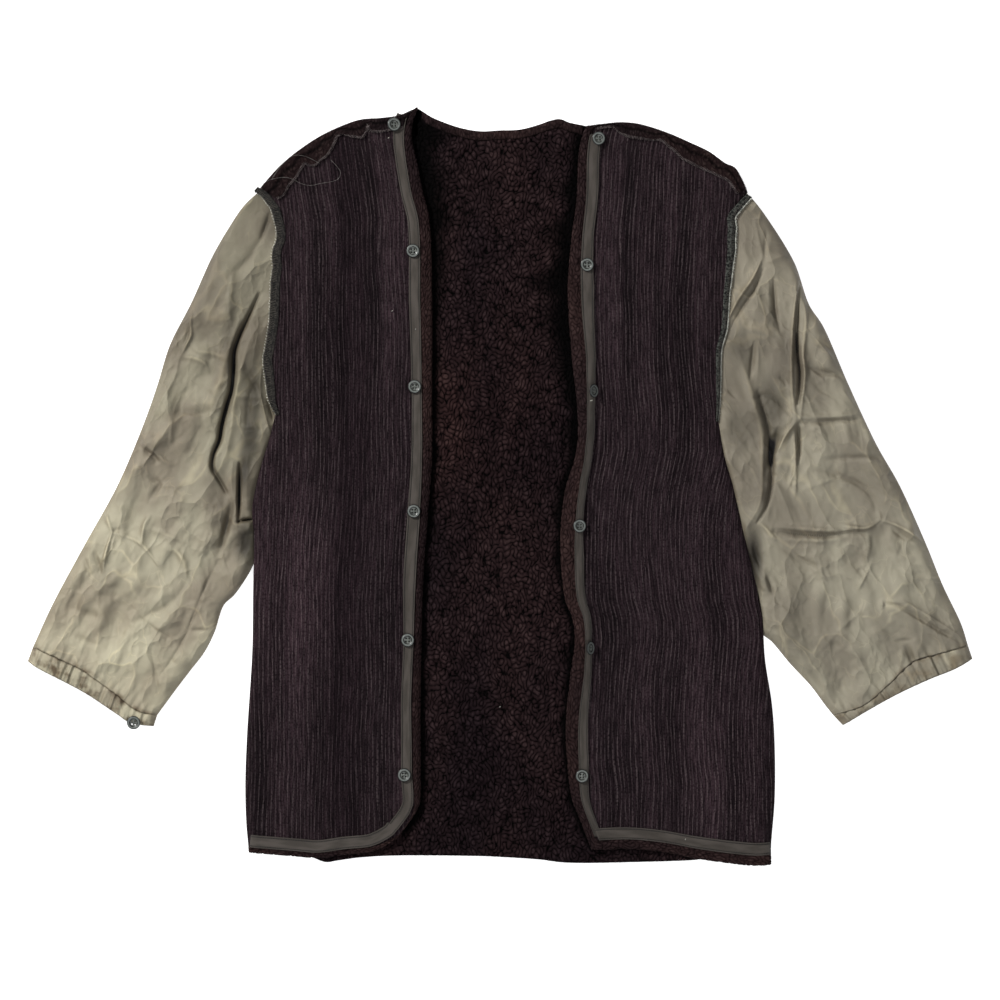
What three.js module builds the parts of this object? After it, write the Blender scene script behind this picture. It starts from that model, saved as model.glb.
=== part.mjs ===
// A button-in pile liner for a jacket, laid flat on a surface and opened at the front.
// Units are millimetres. +X runs across the liner, +Y from the hem to the neck, +Z up off the surface.
// The back rests with its pile up. The two fronts lie on it with their knit backing up, and each
// satin sleeve lies beside the body as a flat tube: a top layer, an under layer and a gathered casing.
// All tables give x across from the middle and "up" as the height above the hem line.
import * as THREE from 'three';

// Driving dimensions
const LENGTH = 871; // hem to the point of the neck
const PILE_CLOTH = 5; // pile and its knit backing
const SATIN = 1.4; // sleeve cloth with its seam fullness
const TRIM = 1; // tape and turned edges
const REST_GAP = 0.4; // between the back and the fronts that lie on it
const SEAM_GAP = 0.3; // between pieces that are sewn together
const BACK_INSET = 7; // the back's edge lies this far inside the fronts' side seams
const UNDER_INSET = 4; // an under sleeve's edge lies this far inside the top sleeve's fold
const SLEEVE_LOFT = 7.6; // hollow height in the middle of a sleeve
const BUTTON_RADIUS = 7.75;
const BUTTON_HEIGHT = 2.8;
const LEFT_HEM_STRIP = 5.5; // pile that shows below each hem tape
const RIGHT_HEM_STRIP = 11;

const FRONT_BOTTOM = PILE_CLOTH + REST_GAP;
const FRONT_TOP = FRONT_BOTTOM + PILE_CLOTH;

// Distances in from a rolled edge, and how far the cloth's two faces drop there.
const ROLLED_EDGE = table('from top under', [
  [0, 4, 3],
  [3, 2, 1.4],
  [8, 0.6, 0.2],
  [12, 0, 0],
]);

// The fold along a sleeve: distance in from the fold, and the part of the loft reached there.
const SLEEVE_FOLD = table('from loft', [
  [0, 0],
  [3, 0.46],
  [8, 0.82],
  [15, 1],
]);

// Front edges from the hem corner to the neck: the turned pile strip and the tape as they lie in
// plan, and how high the strip rolls up.
const LEFT_EDGE = table('x up strip tape roll', [
  [-113, 38, 6, 10, 0],
  [-100, 56, 6, 10, 0],
  [-93, 70, 8, 10, 0.5],
  [-92, 107, 10, 10, 1],
  [-92, 190, 11, 9, 1],
  [-91, 259, 9, 9, 1],
  [-89, 328, 8.5, 12, 0.5],
  [-84, 397, 9, 12, 0.5],
  [-79, 466, 11.5, 10, 1],
  [-79, 535, 11.5, 9, 1.5],
  [-79, 650, 13.5, 10.5, 1],
  [-82, 742, 12.5, 10, 1],
  [-90, 776, 13, 9.5, 1],
  [-97, 811, 12, 9.5, 1],
  [-102, 834, 9, 10, 0.5],
  [-101, 854, 8, 10, 0],
  [-95, 871, 7, 10, 0],
]);
const RIGHT_EDGE = table('x up strip tape roll', [
  [106, 18, 9, 6, 2],
  [93, 52, 9, 6, 3],
  [84, 75, 10, 7, 3],
  [78, 121, 13, 9, 1],
  [77, 167, 14, 8, 2],
  [82, 218, 15, 6, 4],
  [87, 259, 11, 5, 6],
  [84, 284, 12, 6, 4],
  [76, 305, 13, 7, 3],
  [71, 351, 15, 8, 3],
  [71, 391, 16, 6, 4],
  [76, 431, 15, 6, 4],
  [89, 477, 9, 6, 5],
  [90, 523, 10, 6, 5],
  [84, 581, 15, 8, 3],
  [79, 661, 14, 12, 1],
  [83, 719, 11.5, 10, 1],
  [89, 765, 10, 10.5, 1],
  [92, 822, 9, 11, 1],
  [97, 843, 8, 10, 0],
  [101, 850, 7, 10, 0],
]);

// Side seams from the hem to the armpit, and armholes from the armpit to the tip of the shoulder.
const LEFT_SIDE = table('x up', [
  [-289, 15], [-292, 50], [-293, 95], [-291, 150], [-285, 247], [-284, 322],
  [-283, 374], [-285, 409], [-281, 434], [-275, 458], [-266, 488], [-258, 520],
]);
const LEFT_ARMHOLE = table('x up', [
  [-258, 520], [-267, 546], [-270, 581], [-267, 615], [-262, 650], [-261, 684],
  [-256, 728], [-264, 759], [-278, 776],
]);
const RIGHT_SIDE = table('x up', [
  [312, 1], [312, 23], [316, 75], [316, 138], [313, 184], [305, 236], [301, 290],
  [289, 345], [280, 382], [267, 439], [259, 466], [252, 508],
]);
const RIGHT_ARMHOLE = table('x up', [
  [252, 508], [254, 546], [255, 592], [263, 638], [267, 678], [270, 713],
  [271, 739], [277, 757], [285, 774],
]);

// Hems of the fronts from the front corner to the side, shoulders from the neck to the tip.
const LEFT_HEM = table('x up', [
  [-113, 38], [-120, 30], [-145, 17], [-178, 13], [-209, 9], [-237, 11], [-289, 15],
]);
const RIGHT_HEM = table('x up', [
  [106, 18], [153, 19], [192, 15], [228, 8], [270, 2], [294, 0], [312, 1],
]);
const LEFT_SHOULDER = table('x up', [
  [-95, 871], [-115, 862], [-138, 859], [-161, 857], [-184, 849],
  [-207, 838], [-230, 823], [-253, 804], [-278, 776],
]);
const RIGHT_SHOULDER = table('x up', [
  [101, 850], [120, 852], [138, 854], [155, 853], [172, 849], [195, 841], [218, 831],
  [241, 820], [259, 807], [270, 802], [277, 791], [285, 774],
]);

// The back's hem and neck, both from left to right.
const BACK_HEM = table('x up', [
  [-282, 22], [-240, 15], [-218, 9], [-200, 3], [-182, 6], [-137, 10], [-23, 10], [0, 9],
  [46, 6], [69, 3], [95, 2], [156, 3], [218, 5], [270, 9], [305, 12],
]);
const BACK_NECK = table('x up', [
  [-95, 871], [-80, 861], [-69, 856], [-46, 848], [-23, 844], [0, 845], [23, 846],
  [46, 852], [57, 856], [69, 858], [80, 854], [101, 850],
]);

// Depth of the shoulder's exposed allowance at even steps from the neck to the armhole.
const LEFT_ALLOWANCE = [13, 18, 14, 22, 17, 24, 26, 22, 27, 21, 24, 17];
const RIGHT_ALLOWANCE = [8, 15, 18, 19, 21, 16, 19, 21, 18, 20, 16, 14];

// Soft swells on the fronts: middle, half length and half width, slant in degrees, height.
const LEFT_SWELLS = table('x up long wide slant height', [
  [-165, 330, 120, 26, 8, 2],
  [-225, 560, 110, 30, -6, 1.5],
  [-140, 600, 130, 22, 3, 1.2],
]);
const RIGHT_SWELLS = table('x up long wide slant height', [
  [150, 430, 120, 26, -10, 2.2],
  [215, 300, 130, 28, -6, 1.8],
  [170, 640, 110, 26, 4, 1.5],
]);

// Sleeves. "down" runs from the tip of the shoulder along the sleeve and "across" from the outer
// side towards the body. The underarm table takes over where the sleeve leaves the body's side.
const LEFT_SLEEVE = {
  name: 'left',
  side: -1,
  tip: { x: -278, up: 776 },
  slant: 26.8,
  leavesBody: 354,
  gathers: 17,
  outer: table('down across', [
    [23, -7], [50, -11], [90, -13.5], [150, -11], [205, -11], [253, -3], [300, 3],
    [376, 8], [455, 5], [533, 3],
  ]),
  underarm: table('down across', [
    [394, 189], [428, 185], [444, 179.5], [477, 184], [502, 184], [529, 179], [556, 174],
  ]),
  casingSeam: table('down across', [[586, 5], [584, 66], [586, 83], [592, 119], [597, 144], [592, 168]]),
  casingEnd: table('down across', [[603.5, 7], [605, 20], [606, 82], [611, 125], [613, 145], [605, 170]]),
  folds: table('x up toX toUp wide height', [
    [-273, 662, -306, 598, 9, -3.5],
    [-306, 598, -321, 518, 10, -4],
    [-321, 518, -331, 449, 9, -3],
    [-288, 655, -330, 590, 10, 3.5],
    [-335, 580, -345, 500, 11, 3],
    [-355, 638, -367, 587, 9, 4],
    [-369, 582, -396, 522, 10, 4.5],
    [-350, 560, -323, 531, 8, 3],
    [-371, 522, -325, 520, 8, 4],
    [-376, 509, -382, 466, 8, -2.5],
    [-415, 483, -376, 459, 9, 3.5],
    [-447, 383, -457, 335, 9, 4],
    [-447, 383, -389, 343, 9, 4],
    [-386, 363, -362, 328, 8, 3],
    [-362, 322, -386, 298, 8, 3],
    [-324, 346, -391, 221, 8, -2],
    [-408, 278, -365, 252, 8, 3],
  ]),
};
const RIGHT_SLEEVE = {
  name: 'right',
  side: 1,
  tip: { x: 285, up: 774 },
  slant: 22,
  leavesBody: 267,
  gathers: 15,
  outer: table('down across', [
    [18, -5], [46, -12], [72, -17], [99, -20], [147, -17.5], [175, -23], [249, -25], [325, -29],
    [378, -36], [454, -39], [503, -39], [554, -42],
  ]),
  underarm: table('down across', [[490, 168], [521, 158], [555, 145], [580, 138.5]]),
  casingSeam: table('down across', [[579, -40], [574, 0], [572, 26], [585, 60], [597, 97], [595, 134]]),
  casingEnd: table('down across', [[595, -39], [598, -15], [598, 15], [600, 56], [605, 97], [610, 128]]),
  folds: table('x up toX toUp wide height', [
    [304, 696, 267, 627, 10, 6],
    [316, 667, 282, 610, 9, -3.5],
    [321, 674, 323, 612, 9, 4],
    [344, 672, 345, 600, 9, -4],
    [345, 600, 339, 512, 9, -3.5],
    [358, 660, 362, 560, 9, 3.5],
    [339, 512, 419, 514, 9, 4.5],
    [339, 512, 314, 476, 9, 5],
    [339, 512, 338, 422, 9, 3.5],
    [339, 512, 300, 540, 9, 3],
    [353, 614, 383, 582, 9, 3],
    [357, 572, 398, 554, 9, 3],
    [306, 449, 277, 383, 11, 3.5],
    [361, 457, 423, 429, 10, 3.5],
    [423, 429, 434, 407, 9, 3],
    [304, 389, 401, 380, 10, 6],
    [391, 389, 437, 399, 9, 4],
    [440, 396, 491, 367, 9, 4.5],
    [423, 380, 409, 316, 9, -3],
    [438, 304, 536, 256, 10, 3.5],
  ]),
};

// Buttons, sewn to the tape: place, and tilt in degrees about the length of the liner.
const LEFT_BUTTONS = table('x up tilt', [
  [-122, 851, 14],
  [-100, 706, 0],
  [-98, 550, 0],
  [-99, 407, 0],
  [-106, 259, 0],
  [-110, 104, 0],
]);
const RIGHT_BUTTONS = table('x up tilt', [
  [113, 835, 12],
  [100, 690, 4],
  [106, 545, 50],
  [91, 390, 14],
  [102, 250, 55],
  [94, 103, 8],
]);
const CUFF_BUTTON = { x: -421, up: 164 };

const MATERIALS = {
  pile: new THREE.MeshStandardMaterial({ color: 0x2c1b18, roughness: 1, metalness: 0 }),
  backing: new THREE.MeshStandardMaterial({ color: 0x3b2c30, roughness: 0.95, metalness: 0 }),
  satin: new THREE.MeshStandardMaterial({ color: 0x8f8770, roughness: 0.5, metalness: 0 }),
  tape: new THREE.MeshStandardMaterial({ color: 0x514b41, roughness: 0.85, metalness: 0 }),
  overlock: new THREE.MeshStandardMaterial({ color: 0x6d6c5e, roughness: 0.9, metalness: 0 }),
  button: new THREE.MeshStandardMaterial({ color: 0x5c655f, roughness: 0.35, metalness: 0 }),
};

function table(columns, rows) {
  const names = columns.split(' ');
  return rows.map((row) => Object.fromEntries(names.map((name, i) => [name, row[i]])));
}

const clamp = (value, low, high) => Math.min(Math.max(value, low), high);
const mix = (a, b, t) => a + (b - a) * t;
const smooth = (t) => clamp(t, 0, 1) ** 2 * (3 - 2 * clamp(t, 0, 1));
const point = (row) => new THREE.Vector2(row.x, row.up);
const ROUNDING = 1e-9;

// Even steps from one number to another, both ends among them.
function evenly(from, to, count) {
  return Array.from({ length: count + 1 }, (_, i) => mix(from, to, i / count));
}

// The value of a table's column at a key, along straight lines between its rows.
function look(rows, key, column, value) {
  const next = rows.findIndex((row) => row[key] >= value);
  if (next === 0) return rows[0][column];
  if (next < 0) return rows.at(-1)[column];
  const low = rows[next - 1];
  const high = rows[next];
  return mix(low[column], high[column], (value - low[key]) / (high[key] - low[key]));
}

// A smooth line through points, as a function of the share of its length.
function smoothLine(points) {
  const corners = points.map((p) => new THREE.Vector3(p.x, p.y, 0));
  const curve = new THREE.CatmullRomCurve3(corners, false, 'centripetal');
  const length = curve.getLength();
  const at = (t) => {
    const p = curve.getPointAt(clamp(t, 0, 1));
    return new THREE.Vector2(p.x, p.y);
  };
  return { at, length };
}

// Lines joined end to end, as a function of a share that reaches joints[i] at the end of line i.
function joined(lines, joints) {
  return (t) => {
    const i = joints.findIndex((joint) => t <= joint + ROUNDING);
    const start = i > 0 ? joints[i - 1] : 0;
    return lines[i].at((t - start) / (joints[i] - start));
  };
}

// The flat shape between four edges: u runs along bottom and top, v along left and right.
function patch(bottom, top, left, right) {
  const corner = [bottom(0), bottom(1), top(0), top(1)];
  return (u, v) => {
    const p = new THREE.Vector2();
    p.addScaledVector(bottom(u), 1 - v).addScaledVector(top(u), v);
    p.addScaledVector(left(v), 1 - u).addScaledVector(right(v), u);
    p.addScaledVector(corner[0], -(1 - u) * (1 - v)).addScaledVector(corner[1], -u * (1 - v));
    p.addScaledVector(corner[2], -(1 - u) * v).addScaledVector(corner[3], -u * v);
    return p;
  };
}

// Shares of a length: some at set distances from the start, even steps, and some from the end.
function steps(length, fromStart, even, fromEnd) {
  const first = fromStart.at(-1);
  const last = length - fromEnd[0];
  const between = evenly(first, last, even + 1).slice(1, -1);
  return [...fromStart, ...between, ...fromEnd.map((d) => length - d)].map((d) => d / length);
}

const above = (p, z) => new THREE.Vector3(p.x, p.y, z);
const grid = (us, vs, make) => vs.map((v) => us.map((u) => make(u, v)));
const raised = (points, rise) => points.map((row) => row.map((p) => p.clone().setZ(p.z + rise)));

function mesh(name, positions, index, material) {
  const geometry = new THREE.BufferGeometry();
  const values = positions.flatMap((p) => [p.x, p.y, p.z]);
  geometry.setAttribute('position', new THREE.Float32BufferAttribute(values, 3));
  geometry.setIndex(index);
  geometry.computeVertexNormals();
  const made = new THREE.Mesh(geometry, material.clone());
  made.name = name;
  return made;
}

// A closed wall between a grid of upper points and a grid of lower points, in the cells that
// keep(row, column) picks.
function wall(name, upper, lower, material, keep = () => true) {
  const rows = upper.length;
  const columns = upper[0].length;
  const across = upper[0][columns - 1].clone().sub(upper[0][0]);
  const along = upper[rows - 1][0].clone().sub(upper[0][0]);
  const mirrored = across.x * along.y - across.y * along.x < 0;
  const kept = (r, c) => r >= 0 && c >= 0 && r < rows - 1 && c < columns - 1 && keep(r, c);
  const up = (r, c) => r * columns + c;
  const down = (r, c) => rows * columns + r * columns + c;
  const index = [];
  const face = (a, b, c, d) => {
    if (mirrored) index.push(a, c, b, a, d, c);
    else index.push(a, b, c, a, c, d);
  };
  for (let r = 0; r < rows - 1; r++) {
    for (let c = 0; c < columns - 1; c++) {
      if (!kept(r, c)) continue;
      face(up(r, c), up(r, c + 1), up(r + 1, c + 1), up(r + 1, c));
      face(down(r, c), down(r + 1, c), down(r + 1, c + 1), down(r, c + 1));
      if (!kept(r - 1, c)) face(down(r, c), down(r, c + 1), up(r, c + 1), up(r, c));
      if (!kept(r + 1, c)) face(down(r + 1, c + 1), down(r + 1, c), up(r + 1, c), up(r + 1, c + 1));
      if (!kept(r, c - 1)) face(down(r + 1, c), down(r, c), up(r, c), up(r + 1, c));
      if (!kept(r, c + 1)) face(down(r, c + 1), down(r + 1, c + 1), up(r + 1, c + 1), up(r, c + 1));
    }
  }
  return mesh(name, [...upper.flat(), ...lower.flat()], index, material);
}

// A closed ring: rows of outer points and rows of inner points that run round it.
function ring(name, outer, inner, material, mirrored) {
  const rows = outer.length;
  const round = outer[0].length;
  const out = (r, c) => r * round + (c % round);
  const inn = (r, c) => rows * round + r * round + (c % round);
  const index = [];
  const face = (a, b, c, d) => {
    if (mirrored) index.push(a, c, b, a, d, c);
    else index.push(a, b, c, a, c, d);
  };
  for (let c = 0; c < round; c++) {
    for (let r = 0; r < rows - 1; r++) {
      face(out(r, c), out(r, c + 1), out(r + 1, c + 1), out(r + 1, c));
      face(inn(r, c), inn(r + 1, c), inn(r + 1, c + 1), inn(r, c + 1));
    }
    face(inn(0, c), inn(0, c + 1), out(0, c + 1), out(0, c));
    face(out(rows - 1, c), out(rows - 1, c + 1), inn(rows - 1, c + 1), inn(rows - 1, c));
  }
  return mesh(name, [...outer.flat(), ...inner.flat()], index, material);
}

// ---------------------------------------------------------------------------------------------
// A front: u runs from the front edge (0) to the side (1), v from the hem (0) to the shoulder (1).

const SWELL_FADE = 30; // swells flatten out over this distance to every edge
const NECK_FADE = 0.18; // share of the shoulder over which its rolled edge begins
const EDGE_BULGE = 1.2; // fullness of the turned pile strip
const EDGE_CREST = 0.75; // part of the strip's roll that its middle reaches, before the fullness
const ROLL_CLEAR = 12; // swells keep this far behind the front edge's roll

function swell(rows, p) {
  let height = 0;
  for (const row of rows) {
    const turn = THREE.MathUtils.degToRad(row.slant);
    const dx = p.x - row.x;
    const dy = p.y - row.up;
    const along = dy * Math.cos(turn) - dx * Math.sin(turn);
    const across = dx * Math.cos(turn) + dy * Math.sin(turn);
    height += row.height * Math.exp(-((along / row.long) ** 2) - (across / row.wide) ** 2);
  }
  return height;
}

function makeFront(cut) {
  const side = smoothLine(cut.side.map(point));
  const armhole = smoothLine(cut.armhole.map(point));
  const edge = smoothLine(cut.edge.map(point));
  const hem = smoothLine(cut.hem.map(point));
  const shoulder = smoothLine(cut.shoulder.map(point));
  const sideLength = side.length + armhole.length;
  const pit = side.length / sideLength;
  const sideAt = joined([side, armhole], [pit, 1]);
  const flat = patch(hem.at, shoulder.at, edge.at, sideAt);
  const width = (v) => flat(0, v).distanceTo(flat(1, v));
  const height = (u) => mix(edge.length, sideLength, u);
  const edgeValue = (v, column) => look(cut.edge, 'up', column, edge.at(v).y);
  // What the front edge adds: a strip of pile that rolls up, then the tape on its far slope.
  const roll = (fromEdge, v) => {
    const strip = edgeValue(v, 'strip');
    const tape = edgeValue(v, 'tape');
    const top = edgeValue(v, 'roll');
    const crest = top * EDGE_CREST + EDGE_BULGE;
    if (fromEdge < strip / 2) return mix(0, crest, fromEdge / (strip / 2));
    if (fromEdge < strip) return mix(crest, top, fromEdge / (strip / 2) - 1);
    return mix(top, 0, clamp((fromEdge - strip) / tape, 0, 1));
  };
  const drop = (u, v, column) => {
    const atSide = look(ROLLED_EDGE, 'from', column, (1 - u) * width(v));
    const atShoulder = look(ROLLED_EDGE, 'from', column, (1 - v) * height(u));
    return Math.max(atSide, atShoulder * smooth(u / NECK_FADE) ** 2);
  };
  const place = (u, v, column) => {
    const p = flat(u, v);
    const toSides = Math.min(u * width(v) - ROLL_CLEAR, (1 - u) * width(v));
    const toEnds = Math.min(v, 1 - v) * height(u);
    const inside = smooth((Math.min(toSides, toEnds) - SWELL_FADE / 2) / SWELL_FADE);
    const soft = swell(cut.swells, p) * inside;
    const z = column === 'top' ? FRONT_TOP : FRONT_BOTTOM;
    return above(p, z + soft + roll(u * width(v), v) - drop(u, v, column));
  };
  const rows = rowShares(sideLength, pit, cut.hemStrip);
  // The side as the panel's straight-edged mesh has it, for what is sewn or laid against it.
  const sideLine = (v) => {
    const next = Math.max(rows.findIndex((row) => row >= v - ROUNDING), 1);
    const t = (v - rows[next - 1]) / (rows[next] - rows[next - 1]);
    return sideAt(rows[next - 1]).lerp(sideAt(rows[next]), t);
  };
  return {
    pit,
    rows,
    sideLine,
    width,
    edgeValue,
    shoulder,
    top: (u, v) => place(u, v, 'top'),
    bottom: (u, v) => place(u, v, 'under'),
  };
}

const SIDE_STEPS = ROLLED_EDGE.map((row) => row.from).toReversed();
const HEM_TAPE = 12.5;
const ROWS_TO_ARMPIT = 10;
const ROWS_OF_ARMHOLE = 8;
const FRONT_COLUMNS = 6;
const TAPE_COLUMNS = [2, 3];
const TAPE_ROWS = [1, 2];
const TAPE_CLEAR_ROWS = 2; // the tape ends this many rows below the shoulder's edge

// Rows of a front, as shares of its height: close at the hem and the shoulder, one at the armpit.
function rowShares(length, pit, hemStrip) {
  const atHem = [0, hemStrip, hemStrip + HEM_TAPE / 2, hemStrip + HEM_TAPE];
  const low = steps(length * pit, atHem, ROWS_TO_ARMPIT, [0]);
  const high = steps(length * (1 - pit), [0], ROWS_OF_ARMHOLE, SIDE_STEPS);
  return [...low.slice(0, -1).map((t) => t * pit), pit, ...high.slice(1).map((t) => mix(pit, 1, t))];
}

// A front's points. The first columns follow the strip and the tape.
function frontGrid(front, make) {
  return front.rows.map((v) => {
    const strip = front.edgeValue(v, 'strip');
    const tape = front.edgeValue(v, 'tape');
    const start = [0, strip / 2, strip, strip + tape / 2, strip + tape];
    return steps(front.width(v), start, FRONT_COLUMNS, SIDE_STEPS).map((u) => make(u, v));
  });
}

function addFront(group, front, name, allowance) {
  const top = frontGrid(front, front.top);
  const bottom = frontGrid(front, front.bottom);
  group.add(wall('front_panel_' + name, top, bottom, MATERIALS.backing));
  const topRow = top.length - 1 - TAPE_CLEAR_ROWS;
  const downTheFront = (r, c) => r >= TAPE_ROWS[0] && r < topRow && TAPE_COLUMNS.includes(c);
  const alongTheHem = (r, c) => TAPE_ROWS.includes(r) && c >= TAPE_COLUMNS[0];
  const isTape = (r, c) => downTheFront(r, c) || alongTheHem(r, c);
  const over = raised(top, SEAM_GAP + TRIM);
  group.add(wall('tape_' + name, over, raised(top, SEAM_GAP), MATERIALS.tape, isTape));
  addShoulder(group, top, name, allowance);
  addArmhole(group, top, name, front.rows.indexOf(front.pit));
}

// A place on a panel's mesh, by its row and column and the shares between them.
function onPanel(points, row, column) {
  const r = clamp(Math.floor(row), 0, points.length - 2);
  const c = clamp(Math.floor(column), 0, points[0].length - 2);
  const low = points[r][c].clone().lerp(points[r][c + 1], column - c);
  const high = points[r + 1][c].clone().lerp(points[r + 1][c + 1], column - c);
  return low.lerp(high, row - r);
}

const ALLOWANCE_FIRST = 4.3; // the column where the shoulder's allowance begins, past the tape
const ALLOWANCE_CLEAR = 0.06; // the part of a column by which it stops short of the armhole
const ALLOWANCE_STEPS = 21;
const ALLOWANCE_LIFT = SEAM_GAP * 1.6; // its height above the front, clear of the bends in both

// The shoulder's allowance: it hangs down from the shoulder's edge to a wavy line.
function addShoulder(group, top, name, allowance) {
  const lastRow = top.length - 1;
  const lastColumn = top[0].length - SIDE_STEPS.length - ALLOWANCE_CLEAR;
  const columns = evenly(ALLOWANCE_FIRST, lastColumn, ALLOWANCE_STEPS);
  const foot = lastRow - SIDE_STEPS.length + 1;
  const depth = (i) => {
    const t = (i / ALLOWANCE_STEPS) * (allowance.length - 1);
    const low = Math.min(Math.floor(t), allowance.length - 2);
    return mix(allowance[low], allowance[low + 1], smooth(t - low));
  };
  const wavy = (column, i) => {
    const spacing = onPanel(top, foot, column).distanceTo(onPanel(top, foot - 1, column));
    const below = Math.max(depth(i) - SIDE_STEPS[0], 1);
    return onPanel(top, foot - below / spacing, column);
  };
  const rows = [columns.map(wavy)];
  for (let r = foot; r <= lastRow; r++) rows.push(columns.map((column) => onPanel(top, r, column)));
  const upper = raised(rows, ALLOWANCE_LIFT + TRIM);
  group.add(wall('shoulder_seam_' + name, upper, raised(rows, ALLOWANCE_LIFT), MATERIALS.pile));
}

// The armhole's allowance lies on the front's rolled edge from the armpit to the shoulder.
function addArmhole(group, top, name, pitRow) {
  const isBand = (r, c) => r >= pitRow && c >= top[0].length - SIDE_STEPS.length;
  const upper = raised(top, SEAM_GAP + TRIM);
  group.add(wall('armhole_seam_' + name, upper, raised(top, SEAM_GAP), MATERIALS.overlock, isBand));
}

// ---------------------------------------------------------------------------------------------
// The back: u runs from the left side (0) to the right (1), v from the hem (0) to the neck (1).

const BACK_SHOULDER = 0.34; // share of the top edge that each shoulder takes
const BACK_PIT = 0.65; // share of the height at which both armpits lie
const BACK_SHOULDER_COLUMNS = 4;
const BACK_NECK_COLUMNS = 8;
const BACK_SIDE_SHARES = [0, 0.006, 0.013, 0.02];
const BACK_RIM = 0.75; // how much of the fronts' rolled edge the back's edge follows
const BACK_HEM_DROP = 1; // how much lower the pile stands along the hem
const BACK_SHOULDER_INSET = 9; // the back's shoulders lie this far inside the fronts'
const BACK_CORNER = 1 / 6; // share of a shoulder over which it runs into the side
const BACK_NECK_BLEND = 0.05; // share of the width over which the rolled shoulder ends at the neck
const TURNING_CLEAR = 2; // columns by which the neck's turned edge stops short of the fronts

// Carries a share of the height from one armpit share to another.
function shareAt(v, pit, otherPit) {
  return v < pit ? (v / pit) * otherPit : mix(otherPit, 1, (v - pit) / (1 - pit));
}

function addBack(group, left, right) {
  const inset = (front, toMiddle) => (v) => {
    const p = front.sideLine(shareAt(v, BACK_PIT, front.pit));
    return new THREE.Vector2(p.x + toMiddle * BACK_INSET, p.y);
  };
  const leftSide = inset(left, 1);
  const rightSide = inset(right, -1);
  const hem = smoothLine([leftSide(0), ...BACK_HEM.slice(1, -1).map(point), rightSide(0)]);
  const neck = smoothLine(BACK_NECK.map(point));
  const shoulder = (front, end) => (t) => {
    const p = front.shoulder.at(1 - t);
    p.y -= BACK_SHOULDER_INSET * smooth((1 - t) / NECK_FADE);
    return p.lerp(end, 1 - smooth(t / BACK_CORNER));
  };
  const leftShoulder = shoulder(left, leftSide(1));
  const rightShoulder = shoulder(right, rightSide(1));
  const top = (u) => {
    if (u <= BACK_SHOULDER) return leftShoulder(u / BACK_SHOULDER);
    if (u >= 1 - BACK_SHOULDER) return rightShoulder((1 - u) / BACK_SHOULDER);
    return neck.at((u - BACK_SHOULDER) / (1 - 2 * BACK_SHOULDER));
  };
  const flat = patch(hem.at, top, leftSide, rightSide);
  const breadth = (v) => flat(0, v).distanceTo(flat(1, v));
  const shoulderShares = evenly(BACK_SIDE_SHARES.at(-1), BACK_SHOULDER, BACK_SHOULDER_COLUMNS);
  const half = [...BACK_SIDE_SHARES, ...shoulderShares.slice(1)];
  const neckShares = evenly(BACK_SHOULDER, 1 - BACK_SHOULDER, BACK_NECK_COLUMNS).slice(1, -1);
  const us = [...half, ...neckShares, ...half.map((u) => 1 - u).toReversed()];
  const vs = left.rows.map((row) => shareAt(row, left.pit, BACK_PIT));
  const rim = (u, v) => {
    const toSide = look(ROLLED_EDGE, 'from', 'top', Math.min(u, 1 - u) * breadth(v));
    const toShoulder = look(ROLLED_EDGE, 'from', 'top', (1 - v) * LENGTH);
    const onShoulder = smooth((BACK_SHOULDER - Math.min(u, 1 - u)) / BACK_NECK_BLEND);
    const onHem = v === 0 ? BACK_HEM_DROP : 0;
    return Math.max(toSide * BACK_RIM, toShoulder * BACK_RIM * onShoulder, onHem);
  };
  const upper = grid(us, vs, (u, v) => above(flat(u, v), PILE_CLOTH - rim(u, v)));
  const lower = grid(us, vs, (u, v) => above(flat(u, v), 0));
  group.add(wall('back_panel', upper, lower, MATERIALS.pile));
  const first = half.length;
  const last = first + BACK_NECK_COLUMNS - TURNING_CLEAR;
  const isTurning = (r, c) => r >= vs.length - SIDE_STEPS.length && c >= first && c < last;
  const turningTop = raised(upper, SEAM_GAP + TRIM);
  group.add(wall('neck_turning', turningTop, raised(upper, SEAM_GAP), MATERIALS.pile, isTurning));
}

// ---------------------------------------------------------------------------------------------
// Sleeves: u runs from the outer fold (0) to the underarm (1), v from the armhole (0) to the
// casing (1).

const SLEEVE_ROWS = 26;
const UNDER_ROWS = 11;
const UNDER_CLEAR = 2.5; // the under sleeve stops this far short of the casing's seam
const UNDERARM_STEPS = [15, 8, 3];
const ARMHOLE_LOFT = 5.4; // height of the sleeve's inner face where it is sewn to the armhole
const SLEEVE_GAP = SEAM_GAP * 3; // between a sleeve and the front beside it
const ARMHOLE_POINTS = 16;
const SIDE_POINTS = 14;
const PIT_CLEAR = 0.01; // share of the side that the sleeve's corner at the armpit rounds off
const SIDE_STEP = 0.004; // step of the search for where the sleeve leaves the body's side

function sleevePoint(sleeve, row) {
  const turn = THREE.MathUtils.degToRad(sleeve.slant);
  const x = sleeve.tip.x + sleeve.side * (row.down * Math.sin(turn) - row.across * Math.cos(turn));
  const up = sleeve.tip.up - row.down * Math.cos(turn) - row.across * Math.sin(turn);
  return new THREE.Vector2(x, up);
}

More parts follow.
